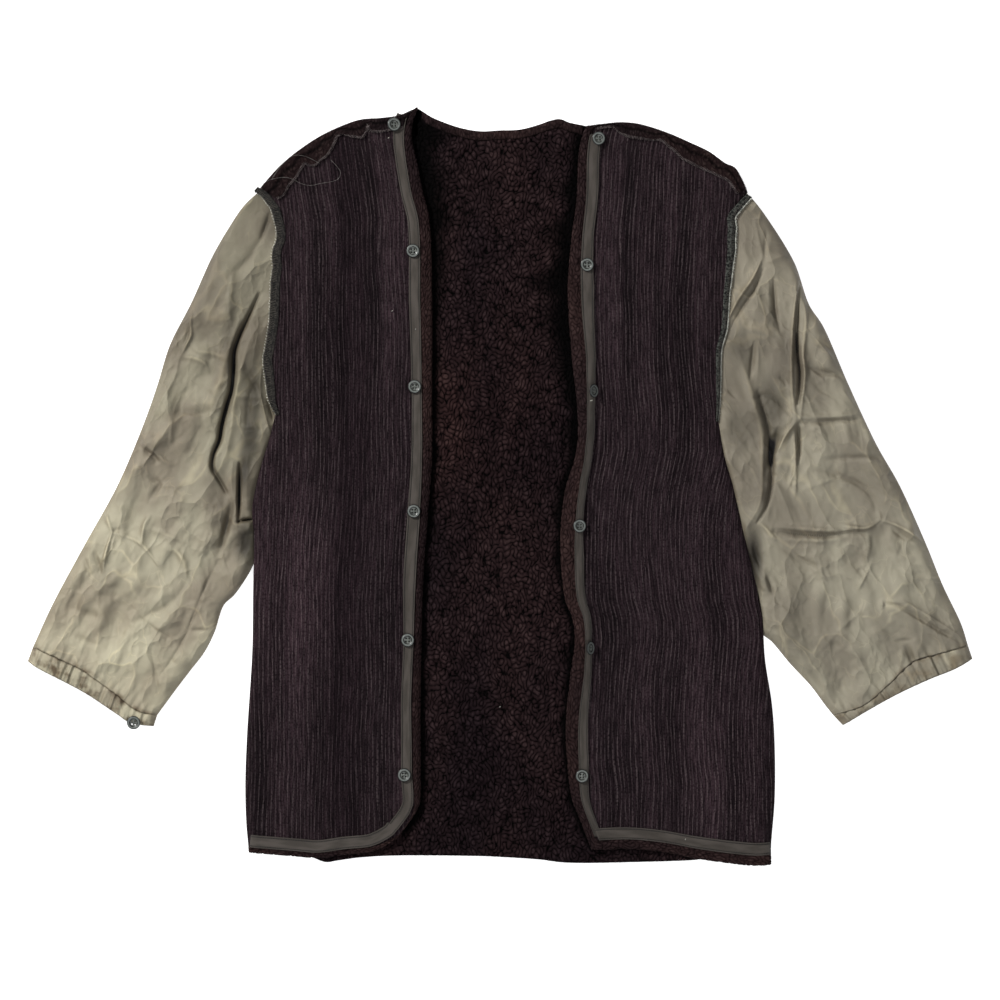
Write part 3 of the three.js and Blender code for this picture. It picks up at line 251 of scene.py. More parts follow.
# Creases of the sleeves' satin: height (below 0 for a trough), half width, how round the crest is
# (2 soft, 1.2 crisp), lean to one side, and the points that it runs through.
CREASES = {
    "left": [
        (-7.5, 3.8, 2, 0,
         (-277, 657), (-290, 630), (-301, 606), (-306, 590), (-307, 567), (-309, 546), (-314, 529),
         (-320, 506), (-323, 489), (-330, 471), (-331, 457), (-323, 443), (-315, 429)),
        (-4.5, 6, 2, 0, (-308, 417), (-316, 385), (-323, 359)),
        (3.2, 10, 2, 0, (-299, 629), (-310, 598), (-316, 578), (-321, 558), (-329, 537), (-335, 506)),
        (3, 8, 2, 0, (-283, 615), (-294, 586), (-300, 558), (-305, 532), (-309, 500), (-315, 468)),
        (3.8, 4, 1.3, -0.3, (-354, 637), (-356, 621), (-355, 610), (-361, 597), (-367, 585)),
        (-2.4, 2.6, 1.8, 0, (-357, 622), (-359, 610), (-363, 598)),
        (2.8, 6, 1.5, 0.2, (-355, 597), (-346, 590), (-330, 588), (-310, 580)),
        (3.2, 4.5, 1.4, -0.2, (-367, 585), (-351, 583), (-339, 577), (-335, 569)),
        (1.8, 3, 1.2, 0, (-369, 582), (-375, 558), (-388, 537), (-408, 500), (-419, 484)),
        (-1.1, 2.5, 1.3, 0, (-356, 558), (-322, 534)),
        (2.2, 4, 1.5, 0, (-327, 550), (-313, 559)),
        (-2.4, 4.5, 1.5, 0, (-371, 521), (-350, 520), (-325, 521)),
        (1.8, 7, 2, 0, (-368, 531), (-329, 532)),
        (2, 4, 1.4, 0, (-377, 511), (-379, 482)),
        (-3.2, 4.5, 1.6, 0, (-414, 481), (-397, 469), (-394, 463)),
        (2.8, 4, 1.4, 0, (-411, 485), (-393, 471), (-381, 461), (-375, 460)),
        (-2.8, 5, 1.8, 0, (-402, 445), (-392, 438), (-397, 429), (-402, 421)),
        (2.2, 5, 1.5, 0, (-390, 437), (-368, 436)),
        (1, 2.4, 1.2, 0, (-379, 454), (-396, 437)),
        (3, 3.2, 1.2, 0.2, (-402, 402), (-409, 391), (-412, 371)),
        (3.6, 3.4, 1.25, 0, (-455, 409), (-450, 394), (-446, 383)),
        (4, 3.2, 1.25, 0.2, (-446, 383), (-453, 360), (-457, 337)),
        (-2, 3, 1.5, 0, (-446, 384), (-436, 386)),
        (3, 4, 1.3, 0.3, (-446, 382), (-428, 377), (-414, 370), (-392, 344)),
        (2.4, 5, 1.5, 0, (-407, 388), (-373, 376), (-358, 368)),
        (3.2, 7, 1.8, 0, (-385, 363), (-373, 361), (-363, 348), (-361, 334), (-361, 327)),
        (-2, 5, 1.6, 0, (-361, 322), (-383, 298), (-405, 288), (-427, 275)),
        (-1.8, 2.6, 1.3, 0, (-323, 351), (-338, 322), (-358, 273), (-373, 243), (-392, 216)),
        (-1.2, 2.5, 1.3, 0, (-424, 298), (-402, 275), (-363, 251)),
        (-1.6, 3, 1.4, 0, (-356, 270), (-336, 270)),
        (-2, 3.5, 1.6, 0, (-478, 351), (-470, 332)),
        (-2.2, 3.5, 1.6, 0, (-467, 361), (-459, 336)),
        (1.8, 6, 2, 0, (-491, 316), (-500, 298)),
        (-1.8, 6, 1.8, 0, (-489, 294), (-476, 289), (-463, 285)),
        (-1.8, 5, 1.8, 0, (-489, 263), (-477, 259), (-463, 253)),
        (1.4, 5, 1.8, 0, (-430, 267), (-444, 221)),
        (1.2, 4, 1.6, 0, (-414, 259), (-422, 204)),
        (-1.4, 4, 1.6, 0, (-401, 247), (-393, 197)),
        (-3, 3.4, 1.5, 0, (-264, 751), (-275, 720)),
        (-2, 6, 1.8, 0, (-275, 720), (-288, 699), (-304, 682)),
        (1.5, 6, 1.8, 0, (-306, 681), (-312, 644), (-308, 618)),
        (1.2, 10, 2, 0, (-304, 747), (-331, 693), (-339, 650)),
        (2.2, 4, 1.4, 0, (-378, 610), (-373, 600), (-379, 589)),
        (-2.6, 6, 1.8, 0, (-294, 576), (-283, 553), (-276, 543)),
        (-2, 5, 2, 0, (-286, 548), (-289, 530), (-291, 505)),
        (1.8, 4, 1.5, 0, (-304, 539), (-278, 538)),
        (2.6, 4, 1.4, 0, (-274, 567), (-276, 552), (-274, 535), (-267, 506), (-262, 493)),
        (-3, 3.4, 1.8, 0, (-268, 536), (-264, 524), (-258, 508)),
        (1.6, 4, 1.5, 0, (-298, 505), (-278, 503)),
        (-6.5, 2.7, 2, 0, (-300, 462), (-300, 431), (-301, 394)),
        (-6, 2, 1.7, 0, (-302, 395), (-292, 397), (-280, 398)),
        (2, 6, 2, 0, (-307, 463), (-309, 443), (-307, 420)),
        (2, 7, 2, 0, (-290, 471), (-291, 443), (-291, 408)),
    ],
    "right": [
        (5, 4.2, 1.3, -0.3, (301, 697), (290, 674), (275, 652), (260, 624)),
        (-2.8, 2.6, 1.5, 0, (303, 686), (291, 660), (278, 640), (266, 619)),
        (2.2, 4, 1.4, 0, (302, 697), (293, 741)),
        (-1.8, 3, 1.5, 0, (306, 729), (305, 700)),
        (2.2, 7, 1.8, 0, (307, 693), (330, 703)),
        (1.8, 3, 1.3, 0, (293, 743), (305, 745), (315, 735)),
        (-3, 3.4, 1.5, 0, (315, 674), (317, 638), (322, 615)),
        (1.6, 6, 1.8, 0, (308, 667), (310, 629)),
        (4.5, 4.5, 1.3, 0, (343, 672), (338, 638), (335, 598), (336, 538), (340, 511)),
        (-4, 2.6, 1.7, 0, (344, 664), (342, 640), (341, 608), (342, 590)),
        (-6, 3, 1.8, 0, (341, 612), (342, 590), (345, 566), (344, 542), (342, 530)),
        (4, 4.5, 1.3, 0, (350, 654), (351, 622), (348, 588), (350, 567), (345, 513)),
        (-2.8, 3, 1.4, 0, (342, 509), (384, 510), (416, 513)),
        (2.2, 4, 1.4, 0, (345, 516), (384, 516), (414, 519)),
        (5, 5, 1.4, 0.2, (338, 508), (325, 489), (314, 466)),
        (-6, 8, 2, 0, (319, 498), (314, 476), (309, 458)),
        (-4.5, 3, 1.8, 0, (343, 506), (344, 483), (343, 462)),
        (3.4, 4, 1.3, 0, (337, 500), (339, 457), (332, 435)),
        (2.6, 3, 1.3, 0, (340, 454), (339, 422)),
        (-2.6, 4, 1.5, 0, (338, 513), (327, 527), (309, 540), (291, 538)),
        (2.2, 3, 1.3, 0, (353, 615), (384, 580)),
        (-1.6, 3.5, 1.6, 0, (371, 600), (389, 588)),
        (-2.4, 4, 1.6, 0, (354, 574), (365, 568), (392, 562), (401, 553)),
        (1.8, 3, 1.3, 0, (358, 569), (376, 553)),
        (1.8, 3, 1.3, 0, (394, 545), (416, 521)),
        (-2.6, 3.4, 1.8, 0, (292, 600), (288, 560)),
        (2, 5, 1.6, 0, (297, 598), (296, 562)),
        (-2.4, 2.6, 1.5, 0, (322, 562), (331, 552)),
        (3.5, 7, 1.8, 0,
         (273, 592), (281, 568), (290, 538), (300, 499), (301, 467), (301, 445), (298, 415), (281, 385)),
        (-4.2, 3.4, 1.8, 0, (297, 546), (307, 510), (312, 472), (312, 440), (306, 412), (296, 394)),
        (-2, 3, 1.5, 0, (259, 549), (271, 537)),
        (1.6, 3, 1.4, 0, (255, 532), (271, 512)),
        (-2.2, 4, 1.6, 0, (377, 467), (419, 469), (447, 466)),
        (-2.3, 4.5, 1.6, 0, (362, 457), (391, 447), (414, 437), (428, 422), (432, 408)),
        (1.1, 2.2, 1.2, 0, (343, 430), (391, 447)),
        (3, 3.4, 1.3, 0, (300, 393), (317, 374)),
        (3.2, 3.4, 1.4, 0, (317, 390), (362, 386), (406, 383)),
        (-3.6, 2.6, 1.6, 0, (315, 385), (340, 381), (372, 379), (404, 382)),
        (2.6, 4, 1.5, 0, (317, 376), (362, 373), (398, 375)),
        (-1.8, 3, 1.5, 0, (322, 367), (345, 351), (365, 342)),
        (4, 3.6, 1.35, -0.2, (391, 391), (421, 388), (436, 397)),
        (-2.2, 4, 1.8, 0, (393, 384), (423, 380)),
        (2.4, 2.6, 1.3, 0, (436, 406), (437, 397)),
        (3.6, 4, 1.35, 0.2, (437, 397), (450, 393), (470, 383), (492, 367)),
        (-2.2, 4, 1.8, 0, (452, 385), (476, 370)),
        (2.8, 3, 1.3, 0, (423, 381), (424, 368), (419, 342)),
        (3, 3, 1.3, 0.2, (427, 348), (411, 316)),
        (2.6, 2.6, 1.4, 0, (439, 306), (439, 293)),
        (-2.6, 3, 1.5, 0, (442, 301), (456, 298), (470, 291), (501, 272), (530, 256)),
        (2.2, 3.4, 1.3, -0.2, (446, 304), (462, 303), (474, 297), (506, 278), (536, 258)),
        (-2, 2, 1.5, 0, (455, 258), (473, 259)),
        (-3.4, 3.4, 1.6, 0, (467, 252), (476, 232)),
        (2, 3, 1.5, 0, (461, 248), (463, 232)),
        (-1.6, 8, 2, 0, (337, 263), (359, 227)),
        (1.3, 6, 1.8, 0, (362, 240), (397, 277), (423, 298)),
        (-3, 5, 1.8, 0, (292, 367), (300, 337)),
        (-2.4, 4, 1.8, 0, (306, 334), (316, 309)),
        (-1.6, 7, 2, 0, (352, 231), (370, 201)),
        (1.2, 5, 1.8, 0, (385, 247), (402, 201)),
    ],
}
# Painted shade in the hollows of the sleeves by the armpits: middle, half sizes across and up, and how
# dark.
SHADED = {
    "left": [
        (-284, 546, 12, 38, 0.7), (-287, 492, 11, 32, 0.85), (-294, 455, 7, 22, 0.8),
        (-292, 371, 14, 25, 0.95), (-262, 745, 8, 30, 0.3), (-311, 600, 8, 40, 0.4),
        (-326, 425, 11, 40, 0.35), (-455, 330, 14, 30, 0.2),
    ],
    "right": [
        (277, 500, 18, 24, 0.4), (274, 600, 15, 24, 0.4), (310, 528, 18, 40, 0.6),
        (303, 440, 8, 30, 0.3), (290, 352, 13, 40, 1), (331, 590, 12, 34, 0.3),
        (345, 250, 30, 40, 0.12),
    ],
}

BUTTON_TILT = {
    "button_left_1": 14, "button_right_1": 12, "button_right_2": 4, "button_right_3": 50,
    "button_right_4": 14, "button_right_5": 55, "button_right_6": 8,
}

# --------------------------------------------------------------------------------------------------
# Lines, patches and meshes


def smooth(t):
    t = np.clip(t, 0, 1)
    return t * t * (3 - 2 * t)


def mix(a, b, t):
    return a + (b - a) * t


def points_of(rows):
    return np.column_stack([rows.x, rows.up])


class Line:
    """A smooth line through points, read by the share of its length."""

    def __init__(self, points, fine=24):
        p = np.asarray(points, float)
        p = np.vstack([2 * p[0] - p[1], p, 2 * p[-1] - p[-2]])
        gap = np.sqrt(np.maximum(np.linalg.norm(np.diff(p, axis=0), axis=1), 1e-6))[:, None]
        before, here, after = gap[:-2], gap[1:-1], gap[2:]
        p0, p1, p2, p3 = p[:-3], p[1:-2], p[2:-1], p[3:]
        leave = ((p1 - p0) / before - (p2 - p0) / (before + here) + (p2 - p1) / here) * here
        arrive = ((p2 - p1) / here - (p3 - p1) / (here + after) + (p3 - p2) / after) * here
        s = np.linspace(0, 1, fine, endpoint=False)[:, None, None]
        curve = (
            (2 * s**3 - 3 * s**2 + 1) * p1 + (s**3 - 2 * s**2 + s) * leave
            + (3 * s**2 - 2 * s**3) * p2 + (s**3 - s**2) * arrive
        )
        self.points = np.vstack([curve.transpose(1, 0, 2).reshape(-1, p.shape[1]), p[-2]])
        steps = np.linalg.norm(np.diff(self.points, axis=0), axis=1)
        self.run = np.concatenate([[0], np.cumsum(steps)])
        self.length = self.run[-1]

    def at(self, share):
        d = np.clip(share, 0, 1) * self.length
        return np.stack([np.interp(d, self.run, column) for column in self.points.T], -1)


def patch(bottom, top, left, right):
    """The flat shape between four edges: u runs along bottom and top, v along left and right."""
    zero, one = np.zeros(1), np.ones(1)
    corner = [bottom(zero)[0], bottom(one)[0], top(zero)[0], top(one)[0]]

    def flat(u, v):
        a, b = u[..., None], v[..., None]
        edges = bottom(u) * (1 - b) + top(u) * b + left(v) * (1 - a) + right(v) * a
        twice = corner[0] * (1 - a) * (1 - b) + corner[1] * a * (1 - b)
        return edges - twice - corner[2] * (1 - a) * b - corner[3] * a * b

    return flat


def to_metres(points):
    moved = np.array(points, float)
    moved[..., 1] -= LENGTH / 2
    return moved * MM


def with_height(plan, z):
    return np.concatenate([plan, np.broadcast_to(z, plan.shape[:-1])[..., None]], -1)


def quads_of(index):
    """Quads between the rows and columns of an index grid."""
    corners = [index[:-1, :-1], index[:-1, 1:], index[1:, 1:], index[1:, :-1]]
    return np.stack(corners, -1).reshape(-1, 4)


def normals_of(grid):
    """Unit normals of a grid of points, facing up."""
    across = np.gradient(grid, axis=1)
    along = np.gradient(grid, axis=0)
    normal = np.cross(across, along)
    normal /= np.maximum(np.linalg.norm(normal, axis=-1, keepdims=True), 1e-9)
    return normal


def slab(top, under, marks=None, flat_map=None):
    """A closed piece of cloth: a grid of upper points over an underside at the height "under"."""
    rows, columns = top.shape[:2]
    index = np.arange(rows * columns).reshape(rows, columns)
    edge = np.zeros((rows, columns), bool)
    edge[[0, -1], :] = True
    edge[:, [0, -1]] = True
    foot = top[edge].copy()
    foot[:, 2] = np.minimum(np.broadcast_to(under, (rows, columns))[edge], foot[:, 2] - 0.05)
    low = np.zeros((rows, columns), int)
    low[edge] = rows * columns + np.arange(len(foot))
    faces = quads_of(index).tolist()
    round_faces = len(faces)
    for upper, lower in (
        (index[0], low[0]), (index[:, -1], low[:, -1]),
        (index[-1, ::-1], low[-1, ::-1]), (index[::-1, 0], low[::-1, 0]),
    ):
        faces += np.stack([lower[:-1], lower[1:], upper[1:], upper[:-1]], -1).tolist()
    if np.isscalar(under):
        faces.append([*low[:, 0], *low[-1, 1:], *low[-2::-1, -1], *low[0, -2:0:-1]])
    else:
        left, right = low[:, 0], low[:, -1]
        faces.append([left[0], left[1], right[1], *low[0, :0:-1]])
        faces += np.stack([left[1:-2], left[2:-1], right[2:-1], right[1:-2]], -1).tolist()
        faces.append([left[-2], *low[-1], right[-2]])
    across, along = top[0, -1] - top[0, 0], top[-1, 0] - top[0, 0]
    if across[0] * along[1] - across[1] * along[0] < 0:
        faces = [face[::-1] for face in faces]
    return SimpleNamespace(
        points=np.vstack([top.reshape(-1, 3), foot]), faces=faces, round_faces=round_faces,
        marks={name: np.concatenate([v.ravel(), v[edge]]) for name, v in (marks or {}).items()},
        flat_map=None if flat_map is None else np.vstack([flat_map.reshape(-1, 2), flat_map[edge]]),
    )


def make_piece(name, parts, materials, smooth_all=False):
    """One Blender object from one or more parts, in metres, at the origin."""
    points = np.vstack([part.points for part in parts])
    faces, rounded, start = [], [], 0
    for part in parts:
        faces += [[i + start for i in face] for face in part.faces] if start else part.faces
        rounded += [smooth_all or i < part.round_faces for i in range(len(part.faces))]
        start += len(part.points)
    mesh = bpy.data.meshes.new(name)
    mesh.from_pydata(to_metres(points).tolist(), [], faces)
    mesh.polygons.foreach_set("use_smooth", rounded)
    for mark in parts[0].marks:
        values = np.concatenate([part.marks[mark] for part in parts])
        mesh.attributes.new(mark, "FLOAT", "POINT").data.foreach_set("value", values)
    if parts[0].flat_map is not None:
        flat = np.vstack([part.flat_map for part in parts]) * MM
        corner = np.empty(len(mesh.loops), int)
        mesh.loops.foreach_get("vertex_index", corner)
        mesh.uv_layers.new(name="cloth").data.foreach_set("uv", flat[corner].ravel())
    for material in materials:
        mesh.materials.append(material)
    return add_object(name, mesh)


def tube(route, radius, sides=6):
    """A closed tube of thread along a route of points."""
    route = np.asarray(route, float)
    ahead = np.gradient(route, axis=0)
    ahead /= np.linalg.norm(ahead, axis=1, keepdims=True)
    beside = np.cross(ahead, (0, 0, 1))
    beside /= np.maximum(np.linalg.norm(beside, axis=1, keepdims=True), 1e-9)
    over = np.cross(beside, ahead)
    turn = np.linspace(0, 2 * math.pi, sides, endpoint=False)[None, :, None]
    ring = beside[:, None] * np.cos(turn) + over[:, None] * np.sin(turn)
    points = (route[:, None] + radius * ring).reshape(-1, 3)
    index = np.arange(len(route) * sides).reshape(-1, sides)
    index = np.hstack([index, index[:, :1]])
    faces = [face[::-1] for face in quads_of(index).tolist()]
    faces += [index[0, :-1].tolist(), index[-1, :-1][::-1].tolist()]
    return SimpleNamespace(
        points=points, faces=faces, round_faces=len(faces) - 2, marks={}, flat_map=None
    )


# --------------------------------------------------------------------------------------------------
# Uneven cloth, as repeating fields of waves


class Field:
    """Uneven waves by place in millimetres, about from -2 to 2. "size" is a wave across and along."""

    SHAPE = (2048, 1024)

    def __init__(self, size, seed, pitch=0.5, spread=0.42):
        rng = np.random.default_rng(seed)
        self.pitch = pitch
        waves = np.fft.rfft2(rng.standard_normal(self.SHAPE))
        along = np.fft.fftfreq(self.SHAPE[0], pitch)[:, None] * size[1]
        across = np.fft.rfftfreq(self.SHAPE[1], pitch)[None, :] * size[0]
        band = np.exp(-(((np.hypot(across, along) - 1) / spread) ** 2))
        wave = np.fft.irfft2(waves * band, s=self.SHAPE)
        self.wave = wave / wave.std()

    def at(self, x, y):
        rows, columns = self.SHAPE
        wavy_x = x + 1.6 * np.sin(y / 17 + 1.4 * np.sin(x / 23))
        wavy_y = y + 1.8 * np.sin(x / 19 + 1.1 * np.sin(y / 29))
        c, r = np.mod(wavy_x / self.pitch, columns), np.mod(wavy_y / self.pitch, rows)
        c0, r0 = c.astype(int), r.astype(int)
        tc, tr = c - c0, r - r0
        c1, r1 = (c0 + 1) % columns, (r0 + 1) % rows
        c0, r0 = c0 % columns, r0 % rows
        low = mix(self.wave[r0, c0], self.wave[r0, c1], tc)
        return mix(low, mix(self.wave[r1, c0], self.wave[r1, c1], tc), tr)


# Curls of pile: the gaps between them, low and with painted shade, lie where the waves change sign.
PILE = Field((6.8, 10), seed=7)
PILE_DEPTH = 2.4
# Wrinkles of the satin, from long folds to crinkles.
WRINKLES = [
    (Field((62, 105), seed=21, pitch=1.5), 2.3), (Field((34, 52), seed=22, pitch=1.5), 1.1),
    (Field((17, 24), seed=23, pitch=1.0), 0.42), (Field((8, 12), seed=24, pitch=1.0), 0.14),
]


def dome(curl):
    """Height of a curl from its gaps (0) to its crest (1)."""
    return 1 - (1 - np.clip(np.abs(curl) / 1.15, 0, 1)) ** 2.3


def slow_noise(x, y, size, seed):
    """Smooth uneven values from -1 to 1, with features of about "size" millimetres."""
    rng = np.random.default_rng(seed)
    total = 0
    for _ in range(9):
        angle, phase = rng.uniform(0, 2 * math.pi, 2)
        wave = size * rng.uniform(0.7, 1.8)
        run = x * math.cos(angle) + y * math.sin(angle)
        total = total + np.sin(run * 2 * math.pi / wave + phase)
    return total / 4.5


# --------------------------------------------------------------------------------------------------
# The fronts' form: u runs from the front edge (0) to the side (1), v from the hem (0) to the shoulder

EDGE_BULGE = 1.2
ROLLED = 12  # width over which an edge rolls down
ROLL_DROP = 4
SWELL_FADE = 30


def rolled(distance, drop=ROLL_DROP):
    """How far a rolled edge has dropped at a distance in from it."""
    return drop * np.clip(1 - distance / ROLLED, 0, 1) ** 2.2


class Front:
    def __init__(self, side):
        self.side = side
        self.sign = SIGN[side]
        self.rows = EDGE[side]
        self.edge = Line(points_of(self.rows))
        self.hem = Line(points_of(HEM[side]))
        self.shoulder = Line(points_of(SHOULDER[side]))
        self.low, self.high = Line(points_of(SIDE[side])), Line(points_of(ARMHOLE[side]))
        self.side_length = self.low.length + self.high.length
        self.pit = self.low.length / self.side_length
        self.flat = patch(self.hem.at, self.shoulder.at, self.edge.at, self.side_at)

    def side_at(self, v):
        below = self.low.at(v / self.pit)
        above = self.high.at((v - self.pit) / (1 - self.pit))
        return np.where((np.asarray(v) <= self.pit)[..., None], below, above)

    def width(self, v):
        return np.linalg.norm(self.edge.at(v) - self.side_at(v), axis=-1)

    def height(self, u):
        return mix(self.edge.length, self.side_length, u)

    def row(self, v, column):
        return np.interp(self.edge.at(v)[..., 1], self.rows.up, getattr(self.rows, column))

    def surface(self, from_edge, v):
        """Points of the upper face, by the distance in from the front edge."""
        wide = self.width(v)
        u = np.clip(from_edge / wide, 0, 1)
        plan = self.flat(u, v)
        strip, tape, top = (self.row(v, name) for name in ("strip", "tape", "roll"))
        t = from_edge / strip
        bulge = EDGE_BULGE * np.sin(math.pi * np.clip(t, 0, 1))
        roll = top * smooth(t) * (1 - smooth((from_edge - strip) / (tape + 6))) + bulge
        to_side, to_top = (1 - u) * wide, (1 - v) * self.height(u)
        near = np.minimum(np.minimum(from_edge - 12, to_side), np.minimum(v * self.height(u), to_top))
        soft = self.swell(plan) * smooth(near / SWELL_FADE)
        drop = np.maximum(rolled(to_side), rolled(to_top) * smooth(u / 0.18) ** 2)
        return with_height(plan, FRONT_TOP + roll + soft - drop)

    def swell(self, plan):
        rows = SWELLS[self.side]
        height = 0
        for x, up, long, wide, slant, tall in zip(
            rows.x, rows.up, rows.long, rows.wide, rows.slant, rows.height
        ):
            turn = math.radians(slant)
            dx, dy = plan[..., 0] - x, plan[..., 1] - up
            along = dy * math.cos(turn) - dx * math.sin(turn)
            across = dx * math.cos(turn) + dy * math.sin(turn)
            height = height + tall * np.exp(-((along / long) ** 2) - (across / wide) ** 2)
        return height

    def share_at_up(self, up):
        """The share of the front edge's length at a height above the hem line."""
        v = np.linspace(0, 1, 600)
        return np.interp(up, self.edge.at(v)[:, 1], v)


FRONTS = {side: Front(side) for side in SIGN}

# --------------------------------------------------------------------------------------------------
# The back and its pile

BACK_SHOULDER = 0.34
BACK_PIT = 0.65
BACK_RIM = 0.75
BACK_LOFT = 1.8
BACK_BREADTH = 560
DENSE_FROM, DENSE_TO, DENSE_COLUMNS = 0.29, 0.675, 150
BACK_ROWS = 535


def share_at(v, pit, other_pit):
    below = v / pit * other_pit
    return np.where(v < pit, below, mix(other_pit, 1, (v - pit) / (1 - pit)))


def back_form():
    """The back's flat shape, u from left to right and v from hem to neck, and its neck line."""
    left, right = FRONTS["left"], FRONTS["right"]

    def inset(front):
        def at(v):
            p = front.side_at(share_at(np.asarray(v, float), BACK_PIT, front.pit)).copy()
            p[..., 0] -= front.sign * BACK_INSET
            return p
        return at

    sides = inset(left), inset(right)
    hem = points_of(BACK_HEM)
    hem[0], hem[-1] = sides[0](np.zeros(1))[0], sides[1](np.zeros(1))[0]
    hem = Line(hem)
    neck = Line(points_of(BACK_NECK))

    def shoulder(front, end, t):
        p = front.shoulder.at(1 - t).copy()
        p[..., 1] -= (BACK_INSET + 2) * smooth((1 - t) / 0.18)
        return mix(p, end, (1 - smooth(t * 6))[..., None])

    ends = [side(np.ones(1))[0] for side in sides]

    def top(u):
        from_left = shoulder(left, ends[0], u / BACK_SHOULDER)
        from_right = shoulder(right, ends[1], (1 - u) / BACK_SHOULDER)
        middle = neck.at((u - BACK_SHOULDER) / (1 - 2 * BACK_SHOULDER))
        p = np.where((u <= BACK_SHOULDER)[..., None], from_left, middle)
        return np.where((u >= 1 - BACK_SHOULDER)[..., None], from_right, p)

    return patch(hem.at, top, *sides), neck


BACK_FLAT, NECK = back_form()


def inside_opening(plan):
    """Distance inside the gap between the two front edges, below 0 under a front."""
    edges = [np.interp(plan[..., 1], front.rows.up, front.rows.x) for front in FRONTS.values()]
    return np.minimum(plan[..., 0] - edges[0], edges[1] - plan[..., 0])


# How far the painted shade beside each front edge reaches over the back.
HOLLOW = {
    "left": table("up wide", [
        (30, 10), (200, 8), (400, 8), (560, 10), (650, 13), (720, 24), (790, 36), (850, 42), (871, 30),
    ]),
    "right": table("up wide", [
        (30, 8), (100, 8), (300, 9), (420, 12), (500, 14), (560, 19), (600, 31), (660, 42), (720, 29),
        (780, 16), (850, 12),
    ]),
}


def daylight(plan):
    """Painted shade of the back's pile: 0 in the hollow beside and under a front, 1 out in the open."""
    lit = 1
    for side, front in FRONTS.items():
        edge = np.interp(plan[..., 1], front.rows.up, front.rows.x)
        wide = np.interp(plan[..., 1], HOLLOW[side].up, HOLLOW[side].wide)
        wide = wide * (1 + 0.35 * slow_noise(plan[..., 1], plan[..., 0] * 0.5, 38, seed=17))
        beside = smooth(((edge - plan[..., 0]) * front.sign / wide - 0.25) / 1.1)
        hem = points_of(HEM[side])[::int(front.sign)]
        below = np.interp(plan[..., 0], hem[:, 0], hem[:, 1]) - plan[..., 1]
        lit = lit * np.maximum(beside, 0.9 * smooth((below + 0.5) / 3))
    return lit


def back_height(plan, u, v):
    """The back's upper face without its pile."""
    to_side = np.minimum(u, 1 - u) * BACK_BREADTH
    on_shoulder = smooth((BACK_SHOULDER - np.minimum(u, 1 - u)) * 20)
    rim = np.maximum(rolled(to_side) * BACK_RIM, rolled((1 - v) * LENGTH) * BACK_RIM * on_shoulder)
    low_hem = rolled(v * LENGTH + 4, 3.2)
    inside = inside_opening(plan)
    return PILE_CLOTH - np.maximum(rim, low_hem) + BACK_LOFT * smooth(inside / 26)


def make_back(materials):
    spread = lambda a, b, n: np.linspace(a, b, n, endpoint=False)
    u = np.concatenate([
        [0, 0.005, 0.011, 0.018], spread(0.026, DENSE_FROM, 6),
        spread(DENSE_FROM, DENSE_TO, DENSE_COLUMNS), spread(DENSE_TO, 0.974, 6),
        [0.974, 0.982, 0.989, 0.995, 1],
    ])
    v = np.linspace(0, 1, BACK_ROWS)
    u, v = np.meshgrid(u, v)
    plan = BACK_FLAT(u, v)
    curl = PILE.at(plan[..., 0], plan[..., 1])
    inside = inside_opening(plan)
    clump = 1 + 0.3 * slow_noise(plan[..., 0], plan[..., 1], 45, seed=3)
    depth = PILE_DEPTH * clump * smooth(inside / 8 + 0.6)
    z = back_height(plan, u, v) + (dome(curl) - 0.8) * depth
    z = np.where(inside < 2, np.minimum(z, FRONT_BOTTOM - 0.2), z)
    part = slab(with_height(plan, z), 0, {"curl": curl, "open": daylight(plan)})
    return make_piece("back_pile_cloth", [part, hem_pile(0.11, 0.31), hem_pile(0.62, 0.9)], materials)


def hem_pile(first, last):
    """A patch of the back's pile, where it shows below a front's hem."""
    u, v = np.meshgrid(np.linspace(first, last, 120), np.linspace(0, 0.026, 22))
    plan = BACK_FLAT(u, v)
    curl = PILE.at(plan[..., 0], plan[..., 1])
    sides = smooth(np.minimum(u - first, last - u) / 0.02)
    z = back_height(plan, u, v) - 0.3 + (0.9 + (dome(curl) - 0.8) * 1.6) * sides
    return slab(with_height(plan, z), 0.6, {"curl": curl, "open": daylight(plan)})


# The neck's turned-down edge: a soft roll of pile along the neck line.
NECK_TURNING = 11


def make_neck_turning(materials):
    t, s = np.meshgrid(np.linspace(0.03, 0.97, 170), np.linspace(0, 1, 12))
    line = NECK.at(t)
    plan = line - with_height(np.zeros(t.shape + (1,)), s * NECK_TURNING)[..., :2]
    curl = PILE.at(plan[..., 0] * 1.5 + 300, plan[..., 1] * 0.9)
    end = smooth(np.minimum(t - 0.03, 0.97 - t) / 0.05)
    bulge = 2.6 * np.sqrt(np.clip(np.sin(math.pi * np.clip(s * 0.86 + 0.1, 0, 1)), 0, 1))
    bulge = bulge * (0.35 + 0.65 * end)
    z = PILE_CLOTH + 0.4 + bulge + (dome(curl) - 0.8) * 0.8 + 0.9 * smooth((s - 0.1) * 3) * end
    seam = 1 - 0.9 * smooth((s - 0.86) / 0.1) * end
    marks = {"curl": curl[::-1], "open": seam[::-1]}
    part = slab(with_height(plan, z)[::-1], PILE_CLOTH - 1.4, marks)
    return make_piece("neck_turned_edge", [part], materials)


# --------------------------------------------------------------------------------------------------
# The fronts' cloth: knit backing, turned pile edges and tape

WALE = 4.7  # spacing of the knit's broad wales


